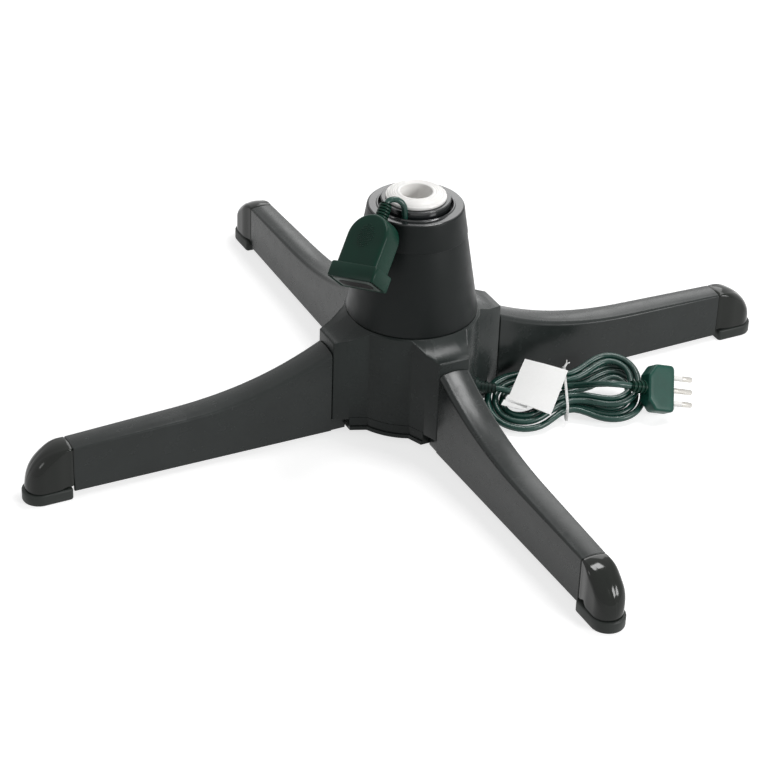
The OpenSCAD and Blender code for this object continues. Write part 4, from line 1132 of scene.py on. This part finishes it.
def tie_piece():
    """Wire tie round the waist of the hank, its two ends twisted together."""
    w, h = TIE_SPAN[0] / 2 + TIE_T / 2, TIE_SPAN[1] / 2 + TIE_T / 2
    loop = rounded_box(w, h, TIE_ROUND + TIE_T / 2, 8)
    parts = []
    for shift in (-WIRE_STEP, 0.0, WIRE_STEP):
        line = []
        for i, (y, z) in enumerate(loop):
            wave = 0.3 * math.sin(4 * math.pi * i / len(loop))
            line.append(in_hank(TIE_AT + Vector((shift + wave, y, z))))
        parts.append(tube(line, WIRE_R if shift else WIRE_R + 0.1, closed=True))
    start = TIE_AT + Vector((0, TIE_SPAN[0] / 2 - TIE_ROUND, TIE_SPAN[1] / 2 + TIE_T + 0.5))
    along = Vector((0.5, 0.866, 0.0))
    across = Vector((-0.866, 0.5, 0.0))
    for side in (0, math.pi):
        line = []
        for k in range(TWIST_ROWS + 1):
            f = k / TWIST_ROWS
            wide = 0.5 + 0.9 * smooth((f - 0.7) / 0.3)
            a = side + 4.2 * math.pi * min(f, 0.75) / 0.75
            off = wide * (math.cos(a) * across + math.sin(a) * Vector((0, 0, 0.8)))
            line.append(in_hank(start + along * TIE_END * f + off))
        parts.append(tube(line, WIRE_R, 8))
    return add("wire_tie", parts, TIE_WHITE, "base", sharp=60)


def sheet(corners, z, lift, steps=14):
    """Thin curved leaf between four corners, with lift(s, t) over its flat place."""
    a, b, c, d = (Vector(p) for p in corners)
    rings = []
    for i in range(steps + 1):
        t = i / steps
        row = []
        for k in range(steps + 1):
            s = k / steps
            p = (1 - t) * ((1 - s) * a + s * b) + t * ((1 - s) * d + s * c)
            row.append((p.x, p.y, z + lift(s, t)))
        under = [(x, y, h - TAG_T) for x, y, h in reversed(row)]
        rings.append([in_hank(p) for p in row + under])
    return skin(rings)


def front_lift(s, t):
    """Slight wave of the front leaf."""
    swell = 0.5 * math.sin(math.pi * s) + 0.35 * math.sin(2.2 * math.pi * t + 1.2 * s)
    return swell - 0.3 * s * t


def back_lift(s, t):
    """Slight arch of the back leaf."""
    return 0.3 * math.sin(math.pi * t) - 0.4 * s


def tag_piece():
    """Card leaf over the left loops, and the end of its back leaf below it."""
    front = [(-32.3, 21.7), (-1, 10.4), (-16.8, -30.5), (-47.6, -16)]
    back = [(-50, -15.5), (-33.5, -21.5), (-34, -25.6), (-52.5, -20.5)]
    leaves = [sheet(front, TAG_Z, front_lift), sheet(back, TAG_Z - 1.1, back_lift, 8)]
    return add("paper_tag", leaves, CARD, "base", sharp=50)


cable_tie = tie_piece()
cord_tag = tag_piece()
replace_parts(cable_tie, "cable_tie")
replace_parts(cord_tag, "cord_tag")

# ---------------------------------------------------------------- studio

FLOOR_HALF = 6.0
FLOOR_GLOW = 0.72
FLOOR_COLOUR = 0.55
FILL = 0.22
LAMPS = [
    ("top_box", (0.45, 0.05, 1.35), (0.0, -0.1, 0.06), 0.4, 8.0),
    ("back_box", (0.85, 1.20, 0.95), (0.0, 0.0, 0.05), 0.9, 6.0),
    ("left_box", (-1.7, 0.1, 0.9), (0.0, 0.0, 0.1), 0.4, 2.0),
    ("front_box", (1.0, -1.75, 0.85), (0.0, 0.0, 0.08), 0.7, 24.0),
]


def seen(nodes, links):
    """1 for rays straight from the camera, mirrored or passed through, 0 for all others."""
    path = nodes.new("ShaderNodeLightPath")
    result = path.outputs["Is Camera Ray"]
    for name in ("Is Glossy Ray", "Is Transmission Ray"):
        either = nodes.new("ShaderNodeMath")
        either.operation = "MAXIMUM"
        links.new(result, either.inputs[0])
        links.new(path.outputs[name], either.inputs[1])
        result = either.outputs[0]
    return result


def scaled(nodes, links, value, low, high):
    node = nodes.new("ShaderNodeMapRange")
    node.inputs["To Min"].default_value = low
    node.inputs["To Max"].default_value = high
    links.new(value, node.inputs["Value"])
    return node.outputs["Result"]


def studio():
    floor_mesh = bpy.data.meshes.new("floor")
    h = FLOOR_HALF
    floor_mesh.from_pydata([(-h, -h, 0), (h, -h, 0), (h, h, 0), (-h, h, 0)], [], [(0, 1, 2, 3)])
    floor = bpy.data.objects.new("floor", floor_mesh)
    scene.collection.objects.link(floor)
    material = bpy.data.materials.new("floor_white")
    material.use_nodes = True
    nodes, links = material.node_tree.nodes, material.node_tree.links
    surface = nodes["Principled BSDF"]
    surface.inputs["Base Color"].default_value = (FLOOR_COLOUR, FLOOR_COLOUR, FLOOR_COLOUR, 1)
    surface.inputs["Roughness"].default_value = 0.9
    surface.inputs["Specular IOR Level"].default_value = 0.0
    surface.inputs["Emission Color"].default_value = (1, 1, 1, 1)
    glow = scaled(nodes, links, seen(nodes, links), 0.0, FLOOR_GLOW)
    links.new(glow, surface.inputs["Emission Strength"])
    floor_mesh.materials.append(material)

    world = bpy.data.worlds.new("world")
    scene.world = world
    world.use_nodes = True
    nodes, links = world.node_tree.nodes, world.node_tree.links
    background = nodes["Background"]
    background.inputs["Color"].default_value = (1, 1, 1, 1)
    fill = scaled(nodes, links, seen(nodes, links), FILL, 1.0)
    links.new(fill, background.inputs["Strength"])

    for name, at, aim, side, power in LAMPS:
        data = bpy.data.lights.new(name, "AREA")
        data.shape = "SQUARE"
        data.size = side
        data.energy = power
        lamp = bpy.data.objects.new(name, data)
        lamp.location = at
        lamp.rotation_euler = (Vector(aim) - Vector(at)).to_track_quat("-Z", "Y").to_euler()
        scene.collection.objects.link(lamp)
    scene.view_settings.view_transform = "Standard"


studio()
